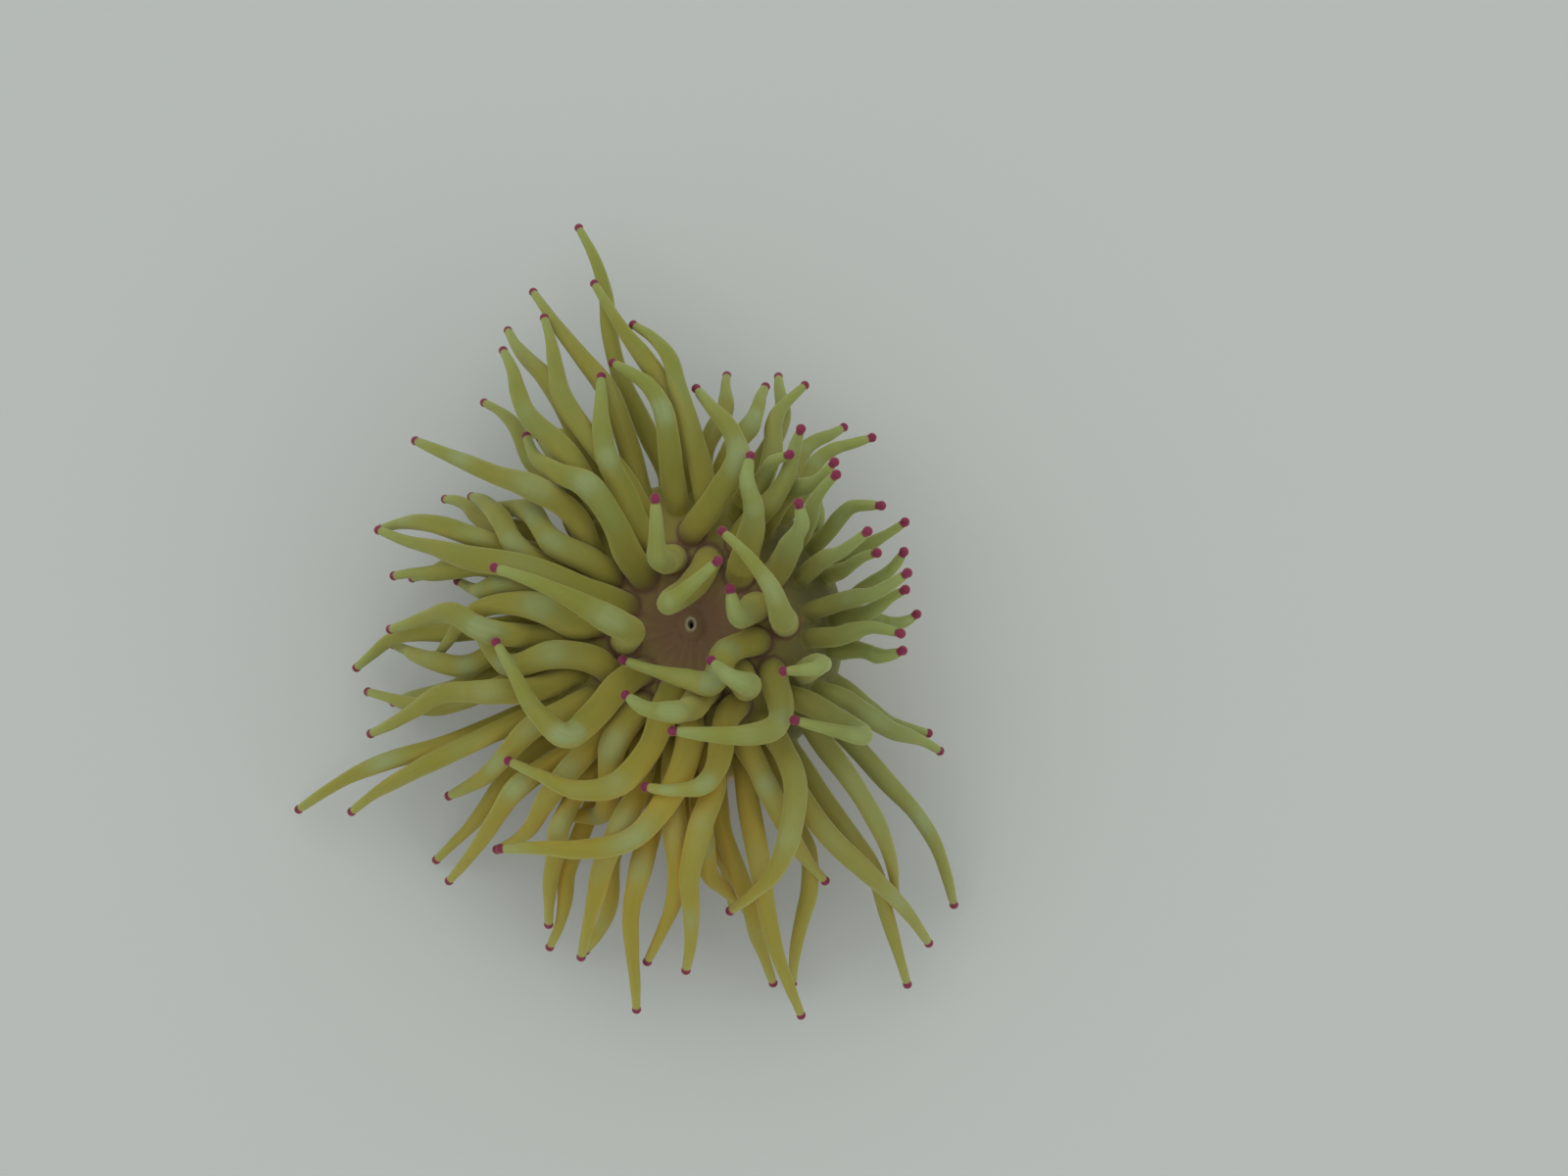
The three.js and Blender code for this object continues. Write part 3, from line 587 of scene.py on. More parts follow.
def carried_sides(tangents, roots):
    """Two normals per ring, carried along the line without twist from the root's side."""
    side = np.stack([-roots[:, 1], roots[:, 0], np.zeros(len(roots))], axis=1)
    sides = []
    for k in range(tangents.shape[1]):
        tangent = tangents[:, k]
        side = unit(side - (side * tangent).sum(axis=1, keepdims=True) * tangent)
        sides.append(side)
    sides = np.stack(sides, axis=1)
    return sides, np.cross(tangents, sides)


def bends_of(lines, run):
    """The curvature vector at each station: the change of the unit tangent per millimetre."""
    tangents = unit(np.gradient(lines, axis=1))
    return spread_along(np.gradient(tangents, axis=1) / np.gradient(run, axis=1)[..., None], 2)


def shelter_of(points, normals, owners, crown):
    """How much of each point's outlook other tentacles take, 0 to 1: 1 - exp(-SHELTER_GAIN sum),
    where the sum is over beads along the others of (r / d)^2, fading out with distance, times the
    cosine between the skin's normal and the way to the bead."""
    every_other = slice(None, None, 2)
    beads = crown["lines"][:, every_other].reshape(-1, 3).astype(np.float32)
    sizes = crown["widths"][:, every_other].ravel().astype(np.float32)
    bead_owners = np.repeat(np.arange(len(crown["lines"])), len(beads) // len(crown["lines"]))
    found = np.empty(len(points), np.float32)
    for start in range(0, len(points), SHELTER_BATCH):
        some = slice(start, start + SHELTER_BATCH)
        here, facing = points[some].astype(np.float32), normals[some].astype(np.float32)
        square = (here**2).sum(axis=1)[:, None] + (beads**2).sum(axis=1)[None] - 2 * here @ beads.T
        square = np.maximum(square, SHELTER_NEAR)
        ahead = facing @ beads.T - (facing * here).sum(axis=1)[:, None]
        weight = sizes[None] ** 2 / square * np.clip(ahead / np.sqrt(square), 0, 1)
        weight *= np.exp(-square / SHELTER_FADE)
        weight[owners[some, None] == bead_owners[None]] = 0
        found[some] = weight.sum(axis=1)
    return 1 - np.exp(-SHELTER_GAIN * found)


def ring_places(total, shaft_rings):
    """The distances of each tentacle's rings from its root: close together at the root, even along
    the shaft, then round the neck and over the bead."""
    first = ROOT_RINGS[-1] + SHAFT_GAP
    last = total - (NECK_RINGS[0] + NECK_GAP) * TIP_RADIUS
    return np.concatenate([
        np.broadcast_to(ROOT_RINGS, (len(total), len(ROOT_RINGS))),
        first + (last - first) * np.linspace(0, 1, shaft_rings)[None],
        total - NECK_RINGS * TIP_RADIUS,
        total - TIP_RADIUS * (1 - np.sin(CAP_RINGS)),
    ], axis=1)


def ring_sizes(own, distance, total, part, bend):
    """The radius of each ring: the taper times 1 + swell, where the swell is two slow sines along
    the tentacle and a little more at bends. A quarter circle closes the end, with a slim neck and a
    round bead as humps, and a power of the height spreads the root."""
    phase = 6.28 * own["lucks"][:, :1]
    swell = 0
    for size, waves, share in SLOW_WAVES:
        swell = swell + size * np.sin(waves * part + share * phase)
    swell = swell + BEND_SWELL * smooth_step(0.05, 0.22, np.linalg.norm(bend, axis=2))
    swell = swell * smooth_step(0.05, 0.2, part) * (1 - smooth_step(0.85, 0.95, part))
    end = (total - distance) / TIP_RADIUS
    size = thickness(own["shapes"], part) * (1 + swell)
    size = blend(size, TIP_RADIUS, smooth_step(3.2, 1.4, end)) * (1 - NECK_SLIM * hump(end, 2.1, 0.5))
    cap = TIP_RADIUS * np.sqrt(np.clip(1 - (1 - end) ** 2, 0, 1))
    size = np.where(end < 1, cap, size) * (1 + BEAD_SWELL * hump(end, 1.05, 0.65))
    spread = np.clip(1 - distance / FLARE_HEIGHT, 0, 1) ** FLARE_CURVE
    return size + FLARES[own["cycles"]][:, None] * spread


def hug_body(points, distance):
    """Gives the points of the rings near the root their ring's distance from the rounded body."""
    held = (1 - smooth_step(*HUG, distance))[:, :, None]
    reach = np.hypot(points[..., 0], points[..., 1])
    outward = np.maximum(reach - RIM_RADIUS, 0)
    upward = points[..., 2] - RIM_HEIGHT
    away = np.hypot(outward, upward)
    lift = (distance[:, :, None] - (away - RIM_TUBE)) * held
    points[..., :2] *= (1 + lift * outward / (away * reach))[..., None]
    points[..., 2] += lift * upward / away


def tentacle_surfaces(crown, chosen, sides, shaft_rings):
    """Rings of the chosen tentacles: centre + size (cos a side + sin a other side). The lowest
    rings lie on the body's surface or just above it."""
    own = {name: values[chosen] for name, values in crown.items()}
    lines, run, length = own["lines"], own["run"], own["run"][:, -1:]
    total = length + TIP_REACH * TIP_RADIUS
    distance = ring_places(total, shaft_rings)
    inside = np.minimum(distance, length)
    part = np.minimum(distance / length, 1)
    centres = sample_lines(lines, run, distance)
    tangents = unit(np.gradient(lines, axis=1))
    tangents[:, 0] = own["leaving"]
    tangents = unit(sample_lines(tangents, run, inside))
    side, other = carried_sides(tangents, lines[:, 0])
    bend = sample_lines(own["bends"], run, inside)
    size = ring_sizes(own, distance, total, part, bend)

    angle = np.linspace(0, 2 * np.pi, sides, endpoint=False)
    out = side[:, :, None] * np.cos(angle)[:, None] + other[:, :, None] * np.sin(angle)[:, None]
    points = centres[:, :, None] + out * size[:, :, None, None]
    hug_body(points, distance)

    # the first ring lies on the crown's surface, down its meridian and along its circle
    root_runs, root_turns = own["root_runs"], np.radians(own["azimuths"])
    root_run = root_runs[:, None] - size[:, :1] * np.sin(angle)
    root_turn = root_turns[:, None] + size[:, :1] * np.cos(angle) / crown_reach_of(root_run)
    points[:, 0] = crown_surface(root_run, root_turn)
    return dict(
        points=points, out=out, distance=distance, total=total, bend=bend, part=part, angle=angle,
        tips=centres[:, -1] + tangents[:, -1] * (total - distance[:, -1:]), tangents=tangents,
        chart=chart(root_run, root_turn).reshape(-1, 2),
        roots=np.stack([root_runs, root_turns, size[:, 0]], axis=1),
    )


# ------------------------------------------------------------------ the skin's tones
SHADE_SIDE = 0.0  # azimuth of the middle of the crowd's shade
SHADE_SPAN = (25, 95)  # degrees on each side of it over which the shade ends
SHADE_REACH = (9, 34)  # from the axis, over which it grows
KINK_BEND = (0.07, 0.2)  # pale kinks: how sharp the bend is, per millimetre
KINK_PART = (0.16, 0.3)  # and how far out, as a part of the length
PATCH_PLACE = (0.45, 0.32)  # pale patches lie here, by chance
PATCH_WIDTH = 0.07
PATCH_CHANCE = (0.55, 0.8)  # only chances above these make a patch
PALE_END = (2.0, 11.0)  # millimetres from the tip
PALE_END_INNER = 0.9
PALE_END_OUTER = 0.45
UPRIGHT = (0.5, 0.95)  # how steeply a pale upright end stands
UPRIGHT_PART = (0.4, 0.7)
CREST_BEND = (0.02, 0.09)  # crests of arches, pale partly as a painted highlight
CREST_PART = (0.12, 0.3)
SKY_SIDE = (0.5, 0.95)  # how much of a point faces up, the side that takes the painted highlight
DISC_SKIN = (0.0, 3.4)  # the disc's colour climbs the inner roots by so much
GAP_SKIN = (0.0, 4.0)  # and the painted shade of the gaps climbs the crowd's roots by so much
# strength of the painted shade at the crowd's roots
GAP_SHARE = 0.55
FAR_FROM_TIP = 99.0
# share of the painted glow on the column and at the crown's edge
COLUMN_SHELTER = 0.5
COLUMN_TOP = 0.6  # part of the column's own colour where it meets the rim
TOP_FADE = 29.0  # the crown's tones fade out from here along the skin to the column


def crowd_tone(azimuth, reach):
    """1 deep in the crowded side of the crown, 0 opposite it and near the mouth."""
    turn = np.abs(turn_between(SHADE_SIDE, azimuth))
    return (1 - smooth_step(*SHADE_SPAN, turn)) * smooth_step(*SHADE_REACH, reach)


def tentacle_tones(crown, chosen, tube):
    """The tones of each ring's points: pale at sharp bends, in patches by chance, on crests of arches, at
    upright ends and near tips, held mostly to the side that faces up, so that the paleness is partly the
    flesh's own and partly a painted highlight. With them come the shelter by other tentacles, which masks
    a painted glow, and painted shade at the roots in the crowd's gaps."""
    bend, out, part, distance = tube["bend"], tube["out"], tube["part"], tube["distance"]
    lucks, inner = crown["lucks"][chosen], (crown["cycles"][chosen] < 2)[:, None]
    shape = out.shape[:3]
    to_tip = tube["total"] - distance

    facing = 0.5 + 0.5 * out[..., 2]
    up = smooth_step(*SKY_SIDE, facing)
    kink = smooth_step(*KINK_BEND, np.linalg.norm(bend, axis=2)) * smooth_step(*KINK_PART, part)
    kink = kink * (0.5 + 0.5 * lucks[:, 1:2])
    patch = hump(part, within(PATCH_PLACE, lucks[:, 2:3]), PATCH_WIDTH)
    patch = patch * smooth_step(*PATCH_CHANCE, lucks[:, 4:5])
    ends = (1 - smooth_step(*PALE_END, to_tip)) * np.where(inner, PALE_END_INNER, PALE_END_OUTER)
    ends = ends * (0.4 + 0.6 * lucks[:, 4:5])
    upright = smooth_step(*UPRIGHT, tube["tangents"][..., 2]) * smooth_step(*UPRIGHT_PART, part)
    crest = smooth_step(*CREST_BEND, -bend[..., 2]) * smooth_step(*CREST_PART, part)
    # paleness lies mostly on the side that faces up: partly the flesh's own pale patches and partly a
    # painted highlight
    pale = np.maximum(0.95 * kink, 0.8 * patch)[:, :, None] * (0.05 + 0.95 * up)
    pale = np.maximum(pale, 0.22 * crest[:, :, None] * up)
    pale = np.maximum(pale, (0.9 * ends + 0.5 * upright)[:, :, None] * (0.4 + 0.6 * facing))

    points = tube["points"].reshape(-1, 3)
    owners = np.broadcast_to(np.nonzero(chosen)[0][:, None, None], shape).ravel()
    # shelter by other tentacles is the mask of the painted glow, which lightens the shade between them
    shelter = shelter_of(points, out.reshape(-1, 3), owners, crown)
    azimuth = np.degrees(np.arctan2(points[:, 1], points[:, 0]))
    crowd = crowd_tone(azimuth, np.hypot(points[:, 0], points[:, 1])).reshape(shape)
    turns = np.stack([np.cos(tube["angle"]), np.sin(tube["angle"])], axis=-1)
    along = np.broadcast_to(distance[..., None, None], (*shape, 1))
    tones = dict(
        to_tip=to_tip[..., None],
        pale=np.clip(pale, 0, 1),
        shelter=shelter.reshape(shape),
        crowd=crowd,
        disc=((1 - smooth_step(*DISC_SKIN, distance)) * inner)[..., None],
        # painted shade at the roots in the crowd's gaps
        gap=GAP_SHARE * crowd * (1 - smooth_step(*GAP_SKIN, distance))[..., None],
        column=0.0,
        own=lucks[:, 0][:, None, None],
    )
    tones = {name: np.broadcast_to(values, shape) for name, values in tones.items()}
    return dict(tones, lie=np.concatenate([np.broadcast_to(turns, (*shape, 2)), along], axis=-1))


# ------------------------------------------------------------------ one closed skin
TENTACLE_SETS = (  # cycles, sides and shaft rings of each set that shares a grid
    ((0, 1), 16, 50),
    ((2,), 14, 44),
    ((3, 4), 12, 38),
)
CROWN_SPACING = 0.85  # between the crown's own points
LIP_SPACING = 0.16
LIP_ZONE = 3.2
ROOT_MARGIN = 0.3  # clear space round a root's first ring
FOOT_RINGS = (0.82, 0.55, 0.28)  # rings of the underside, as parts of the foot's radius
MAP_COLUMNS = 24  # tentacle strips side by side in the bake map
MAP_PAD = 0.06
MAP_ROW_HEIGHT = 0.172
MAP_ROW_GAP = 0.02
MAP_SHAFT = 0.985  # part of a strip's height below the tip's fan
MAP_EVEN = 0.45  # part of the way up a strip that counts rings; the rest counts the length
MAP_CROWN = 0.3  # the crown's chart has this square of the bake map
MAP_MARGIN = 0.97  # part of that square that the chart fills
MAP_BODY = 0.9  # part of the height beside the square that the column and underside fill


class Skin:
    """The parts of one mesh: points with their tones, and faces with their bake-map places."""

    def __init__(self):
        self.count = 0
        self.points, self.tones = [], []
        self.quads, self.quad_places = [], []
        self.triangles, self.triangle_places = [], []

    def add_points(self, points, tones):
        self.points.append(points)
        self.tones.append(tones)
        self.count += len(points)

    def add_quads(self, quads, places):
        self.quads.append(quads)
        self.quad_places.append(places)

    def add_triangles(self, triangles, places):
        self.triangles.append(triangles)
        self.triangle_places.append(places)


def cells(grid, turned=False):
    """The four corners of each cell of a grid of rows and columns, the other way round if turned."""
    a, b, c, d = grid[..., :-1, :-1, :], grid[..., :-1, 1:, :], grid[..., 1:, 1:, :], grid[..., 1:, :-1, :]
    corners = [a, d, c, b] if turned else [a, b, c, d]
    return np.stack(corners, axis=-2).reshape(-1, 4, grid.shape[-1])


def closed_cells(grid, turned=False):
    """The cells of a grid of point numbers whose rows are closed rings."""
    wrapped = np.concatenate([grid, grid[..., :1]], axis=-1)
    return cells(wrapped[..., None], turned)[..., 0]


def fans(ring, peaks):
    """Triangles between neighbouring points of each ring and its peak."""
    following = np.roll(ring, -1, axis=-1)
    return np.stack([ring, following, np.broadcast_to(peaks[:, None], ring.shape)], axis=-1).reshape(-1, 3)


def chart(run, turn):
    """The crown's flat chart: the distance along the skin, laid out as a plain polar map."""
    return np.stack([run * np.cos(turn), run * np.sin(turn)], axis=-1)


def crown_points(root_runs, root_turns, root_sizes):
    """Points in the crown's flat chart (distance from the mouth along the skin, azimuth): the
    middle and circles of even spacing, finer at the lips and without those inside or right
    beside a root."""
    fine = np.arange(LIP_SPACING, LIP_ZONE, LIP_SPACING)
    coarse = np.arange(LIP_ZONE, CROWN_LENGTH - 0.6 * CROWN_SPACING, CROWN_SPACING)
    rings = []
    for number, run in enumerate(np.r_[fine, coarse]):
        spacing = LIP_SPACING * 1.6 if run < LIP_ZONE else CROWN_SPACING
        count = max(int(round(2 * np.pi * run / spacing)), 6)
        turn = 2 * np.pi * (np.arange(count) + 0.5 * (number % 2)) / count
        rings.append(np.stack([np.full(count, run), turn], axis=1))
    points = np.concatenate(rings)
    across = (points[:, None, 1] - root_turns[None] + np.pi) % (2 * np.pi) - np.pi
    gap = np.hypot(points[:, None, 0] - root_runs[None], across * crown_reach_of(points[:, :1]))
    clear = (gap > root_sizes[None] + ROOT_MARGIN).all(axis=1)
    return np.concatenate([[[0.0, 0.0]], points[clear]])


def crown_triangles(chart_points, loops):
    """Triangles over the chart's points, with every root loop kept as edges and left open."""
    edges = [np.stack([loop, np.roll(loop, -1, axis=-1)], axis=-1).reshape(-1, 2) for loop in loops]
    vectors = [Vector(place) for place in chart_points.tolist()]
    found = delaunay_2d_cdt(vectors, np.concatenate(edges).tolist(), [], 0, 1e-6)
    source = np.array([ids[0] for ids in found[3]])
    triangles = source[np.array(found[2])]
    root_of = np.full(len(chart_points), -1)
    number = 0
    for loop in loops[:-1]:
        for ring in loop:
            root_of[ring] = number
            number += 1
    owners = root_of[triangles]
    inside = (owners[:, 0] >= 0) & (owners == owners[:, :1]).all(axis=1)
    triangles = triangles[~inside]
    a, b, c = (chart_points[triangles[:, i]] for i in range(3))
    turned = (b[:, 0] - a[:, 0]) * (c[:, 1] - a[:, 1]) - (b[:, 1] - a[:, 1]) * (c[:, 0] - a[:, 0]) < 0
    triangles[turned] = triangles[turned][:, ::-1]
    return triangles


def add_tentacles(skin, crown, chosen, tube, number):
    """Adds a set of tubes with closed tips to the skin and gives their open root loops. Each
    tentacle has a strip of the bake map, with u round it and v along it."""
    count, rows, sides = tube["points"].shape[:3]
    grid = skin.count + np.arange(count * rows * sides).reshape(count, rows, sides)
    peaks = skin.count + grid.size + np.arange(count)
    tones = {}
    for name, values in tentacle_tones(crown, chosen, tube).items():
        flat = values.reshape(-1, *values.shape[3:])
        tones[name] = np.concatenate([flat, values[:, -1].mean(axis=1)])
    tones["to_tip"][-count:] = 0
    skin.add_points(np.concatenate([tube["points"].reshape(-1, 3), tube["tips"]]), tones)

    cell = number + np.arange(count)
    left = (cell % MAP_COLUMNS + MAP_PAD)[:, None, None] / MAP_COLUMNS
    wide = (1 - 2 * MAP_PAD) / MAP_COLUMNS
    low = (1 - (cell // MAP_COLUMNS + 1 - MAP_ROW_GAP) * MAP_ROW_HEIGHT)[:, None]
    tall = MAP_ROW_HEIGHT * (1 - 2 * MAP_ROW_GAP)
    along = (1 - MAP_EVEN) * tube["part"] + MAP_EVEN * np.linspace(0, 1, rows)[None]
    u = left + wide * np.arange(sides + 1)[None, None] / sides
    u, v = np.broadcast_arrays(u, (low + tall * MAP_SHAFT * along)[..., None])
    places = np.stack([u, v], axis=-1)
    middles = (u[:, -1, :-1] + u[:, -1, 1:]) / 2
    tops = np.stack([middles, np.broadcast_to(low + tall, middles.shape)], axis=-1)
    skin.add_quads(closed_cells(grid), cells(places))
    fan_places = np.stack([places[:, -1, :-1], places[:, -1, 1:], tops], axis=-2)
    skin.add_triangles(fans(grid[:, -1], peaks), fan_places.reshape(-1, 3, 2))
    return grid[:, 0]


def add_crown(skin, crown, loops, charts, roots, edge_turn):
    """Adds the crown's own points and its triangles between the root loops and the column's first
    ring, whose points come next in the skin."""
    run, turn = crown_points(*roots.T).T
    own = skin.count + np.arange(len(run))
    edge = own[-1] + 1 + np.arange(COLUMN_SEGMENTS)
    index = np.concatenate([loop.ravel() for loop in loops] + [own, edge])
    place = np.concatenate(charts + [chart(run, turn), chart(CROWN_LENGTH, edge_turn)])
    order = np.full(index.max() + 1, -1)
    order[index] = np.arange(len(index))
    faces = crown_triangles(place, [order[loop] for loop in loops] + [order[edge]])

    points = crown_surface(run, turn)
    lean = rim_bend(run)
    normals = round_axis(turn, np.sin(lean), np.cos(lean))
    crowd = crowd_tone(np.degrees(turn), crown_reach_of(run))
    top = 1 - smooth_step(TOP_FADE, CROWN_LENGTH, run)
    shelter = shelter_of(points, normals, np.full(len(run), -1), crown)
    zeros = np.zeros(len(run))
    skin.add_points(points, dict(
        to_tip=zeros + FAR_FROM_TIP,
        pale=zeros,
        # share of the painted glow: sheltered skin is lighter, less so in the crowd
        shelter=blend(COLUMN_SHELTER, (0.8 - 0.6 * crowd) * shelter, top),
        crowd=crowd * top,
        disc=(1 - 0.85 * smooth_step(4.5, 15, run)) * top,
        # painted shade on the crown's skin between the crowd's roots
        gap=smooth_step(0.1, 0.5, crowd) * smooth_step(11, 18, run) * top,
        column=COLUMN_TOP * smooth_step(31, CROWN_LENGTH, run),
        own=zeros + 0.5,
        lie=np.stack([np.cos(turn * 2), np.sin(turn * 2), run], axis=-1),
    ))
    half = MAP_CROWN / 2
    skin.add_triangles(index[faces], place[faces] / CROWN_LENGTH * half * MAP_MARGIN + half)


def add_body(skin, edge_turn):
    """Adds the column, its foot and the flat underside, which closes at a point on the axis."""
    column = column_surface(edge_turn)
    foot = [column[-1:] * np.array([share, share, 0]) for share in FOOT_RINGS]
    body = np.concatenate([column, *foot])
    rows = len(body)
    grid = skin.count + np.arange(rows * COLUMN_SEGMENTS).reshape(rows, COLUMN_SEGMENTS)
    points = np.concatenate([body.reshape(-1, 3), np.zeros((1, 3))])
    zeros = np.zeros(len(points))
    under_rim = 1 - smooth_step(12, 23, points[:, 2])
    turn = np.r_[np.tile(edge_turn, rows), 0]
    down = np.r_[np.repeat(np.arange(rows), COLUMN_SEGMENTS), rows]
    skin.add_points(points, dict(
        to_tip=zeros + FAR_FROM_TIP,
        pale=zeros,
        shelter=zeros + COLUMN_SHELTER,
        crowd=zeros,
        disc=zeros,
        gap=zeros,
        column=blend(COLUMN_TOP, 1, under_rim),
        own=zeros + 0.5,
        lie=np.stack([np.cos(turn), np.sin(turn), down * 0.5], axis=-1),
    ))
    u = MAP_CROWN + 0.01 + (0.98 - MAP_CROWN) * np.arange(COLUMN_SEGMENTS + 1) / COLUMN_SEGMENTS
    v = MAP_CROWN * (0.98 - MAP_BODY * np.arange(rows + 1) / rows)
    places = np.stack(np.broadcast_arrays(u[None], v[:, None]), axis=-1)
    skin.add_quads(closed_cells(grid, turned=True), cells(places[:-1], turned=True))
    last, middles = places[-2], (places[-1, :-1] + places[-1, 1:]) / 2
    pole = np.full(COLUMN_SEGMENTS, grid[-1, -1] + 1)
    skin.add_triangles(
        np.stack([grid[-1], pole, np.roll(grid[-1], -1)], axis=-1),
        np.stack([last[:-1], middles, last[1:]], axis=-2),
    )


def build_skin(crown):
    """The animal's whole skin as one closed mesh: tentacles grow out of open loops in the crown's
    surface, and the column and the underside continue from its edge."""
    skin = Skin()
    loops, charts, roots = [], [], []
    for cycles, sides, shaft_rings in TENTACLE_SETS:
        chosen = np.isin(crown["cycles"], cycles)
        tube = tentacle_surfaces(crown, chosen, sides, shaft_rings)
        loops.append(add_tentacles(skin, crown, chosen, tube, sum(len(loop) for loop in loops)))
        charts.append(tube["chart"])
        roots.append(tube["roots"])
    edge_turn = 2 * np.pi * np.arange(COLUMN_SEGMENTS) / COLUMN_SEGMENTS
    add_crown(skin, crown, loops, charts, np.concatenate(roots), edge_turn)
    add_body(skin, edge_turn)
    return skin


def placed(name, data):
    """A new object for a mesh, light or camera, linked into the scene."""
    thing = bpy.data.objects.new(name, data)
    bpy.context.scene.collection.objects.link(thing)
    return thing


def mesh_of(name, skin):
    """A mesh object in metres with smooth faces, its bake map and one attribute per tone."""
    mesh = bpy.data.meshes.new(name)
    points, quads, triangles = map(np.concatenate, (skin.points, skin.quads, skin.triangles))
    totals = np.concatenate([np.full(len(quads), 4), np.full(len(triangles), 3)])
    mesh.vertices.add(len(points))
    mesh.vertices.foreach_set("co", (points * MILLIMETRE).ravel())
    mesh.loops.add(totals.sum())
    mesh.loops.foreach_set("vertex_index", np.concatenate([quads.ravel(), triangles.ravel()]))
    mesh.polygons.add(len(totals))
    mesh.polygons.foreach_set("loop_start", np.r_[0, np.cumsum(totals)[:-1]])
    mesh.polygons.foreach_set("loop_total", totals)
    mesh.polygons.foreach_set("use_smooth", np.ones(len(totals), dtype=bool))
    places = np.concatenate([part.ravel() for part in skin.quad_places + skin.triangle_places])
    mesh.uv_layers.new(name="OFBake").data.foreach_set("uv", places)
    for tone in skin.tones[0]:
        values = np.concatenate([tones[tone] for tones in skin.tones])
        kind, field = ("FLOAT_VECTOR", "vector") if values.ndim == 2 else ("FLOAT", "value")
        mesh.attributes.new(tone, kind, "POINT").data.foreach_set(field, values.ravel())
    mesh.update(calc_edges=True)
    mesh.validate()
    return placed(name, mesh)


# ------------------------------------------------------------------ materials
class Nodes:
    """Short calls for a node tree: each adds a node, links or sets its inputs and returns it."""

    def __init__(self, tree):
        self.tree = tree

    def fill(self, socket, value):
        if isinstance(value, bpy.types.NodeSocket):
            self.tree.links.new(value, socket)
        else:
            socket.default_value = value

    def add(self, kind, inputs=None, **settings):
        node = self.tree.nodes.new(kind)
        for name, value in settings.items():
            setattr(node, name, value)
        for name, value in (inputs or {}).items():
            self.fill(node.inputs[name], value)
        return node

    def math(self, operation, first, second=0.0, third=0.0):
        inputs = {0: first, 1: second, 2: third}
        return self.add("ShaderNodeMath", inputs, operation=operation).outputs[0]

    def vector(self, operation, first, second):
        return self.add("ShaderNodeVectorMath", {0: first, 1: second}, operation=operation).outputs[0]

    def scaled(self, value, factor, plus=0.0):
        """value * factor + plus"""
        return self.math("MULTIPLY_ADD", value, factor, plus)

    def mix(self, share, first, second):
        """The first colour, covered by the second as far as the share says."""
        node = self.add("ShaderNodeMix", {0: share}, data_type="RGBA")
        for socket, value in ((node.inputs[6], first), (node.inputs[7], second)):
            self.fill(socket, (*value, 1.0) if isinstance(value, tuple) else value)
        return node.outputs[2]

    def layers(self, colour, *rows):
        """The colour, covered in turn by each row's tint as far as its mask times its share says."""
        for mask, share, tint in rows:
            colour = self.mix(self.scaled(mask, share), colour, tint)
        return colour

    def steps(self, value, low, high):
        """A smooth step from 0 at the low value to 1 at the high one."""
        inputs = {"Value": value, "From Min": low, "From Max": high}
        return self.add("ShaderNodeMapRange", inputs, interpolation_type="SMOOTHSTEP").outputs[0]

    def noise(self, place, scale, roughness):
        inputs = {"Vector": place, "Scale": scale, "Detail": 3.0, "Roughness": roughness}
        return self.add("ShaderNodeTexNoise", inputs).outputs[0]

    def tone(self, name, output="Fac"):
        node = self.add("ShaderNodeAttribute", attribute_type="GEOMETRY", attribute_name=name)
        return node.outputs[output]


def mottle_group():
    """A node group for broad and fine unevenness from Object coordinates, each 0 to 1."""
    group = bpy.data.node_groups.new("mottle", "ShaderNodeTree")
    for label, kind, default in (
        ("Place", "NodeSocketVector", (0.0, 0.0, 0.0)),
        ("Broad Size", "NodeSocketFloat", 120.0),
        ("Fine Size", "NodeSocketFloat", 1400.0),
    ):
        group.interface.new_socket(name=label, in_out="INPUT", socket_type=kind).default_value = default
    for label in ("Broad", "Fine"):
        group.interface.new_socket(name=label, in_out="OUTPUT", socket_type="NodeSocketFloat")
    n = Nodes(group)
    given, result = n.add("NodeGroupInput").outputs, n.add("NodeGroupOutput").inputs
    n.fill(result["Broad"], n.steps(n.noise(given["Place"], given["Broad Size"], 0.55), 0.32, 0.68))
    n.fill(result["Fine"], n.noise(given["Place"], given["Fine Size"], 0.6))
    return group


OLIVE = (0.188, 0.212, 0.036)
OCHRE = (0.262, 0.206, 0.029)
# painted glow: lighter flesh where other tentacles shelter it, standing in for light through the flesh
PAINTED_GLOW = (0.440, 0.375, 0.086)
# painted light: the gold of flesh lit through from behind, where the tentacles lie over the floor
PAINTED_BACKLIGHT_GOLD = (0.310, 0.250, 0.028)
GOLD_PAINTED_GLOW = (0.660, 0.415, 0.060)
PAINTED_BACKLIGHT_SIDE = (-0.005, -0.050)  # metres along Y over which painted light through the flesh turns it to gold, on the side where the tentacles lie over the floor
SHADE_GREEN = (0.195, 0.235, 0.090)
# painted shade: the dark of the gaps between the crowd's roots
GAP_PAINTED_SHADE = (0.100, 0.100, 0.034)
# pale flesh and painted highlight, also used for fine pale flecks
PALE_AND_HIGHLIGHT = (0.275, 0.340, 0.175)
THIN_GREEN = (0.235, 0.290, 0.085)
THIN_END = (20.0, 4.0)  # millimetres from the tip
DISC_BROWN = (0.260, 0.150, 0.080)
DISC_LINE = (0.27, 0.21, 0.135)
LIP_WHITE = (0.40, 0.35, 0.26)
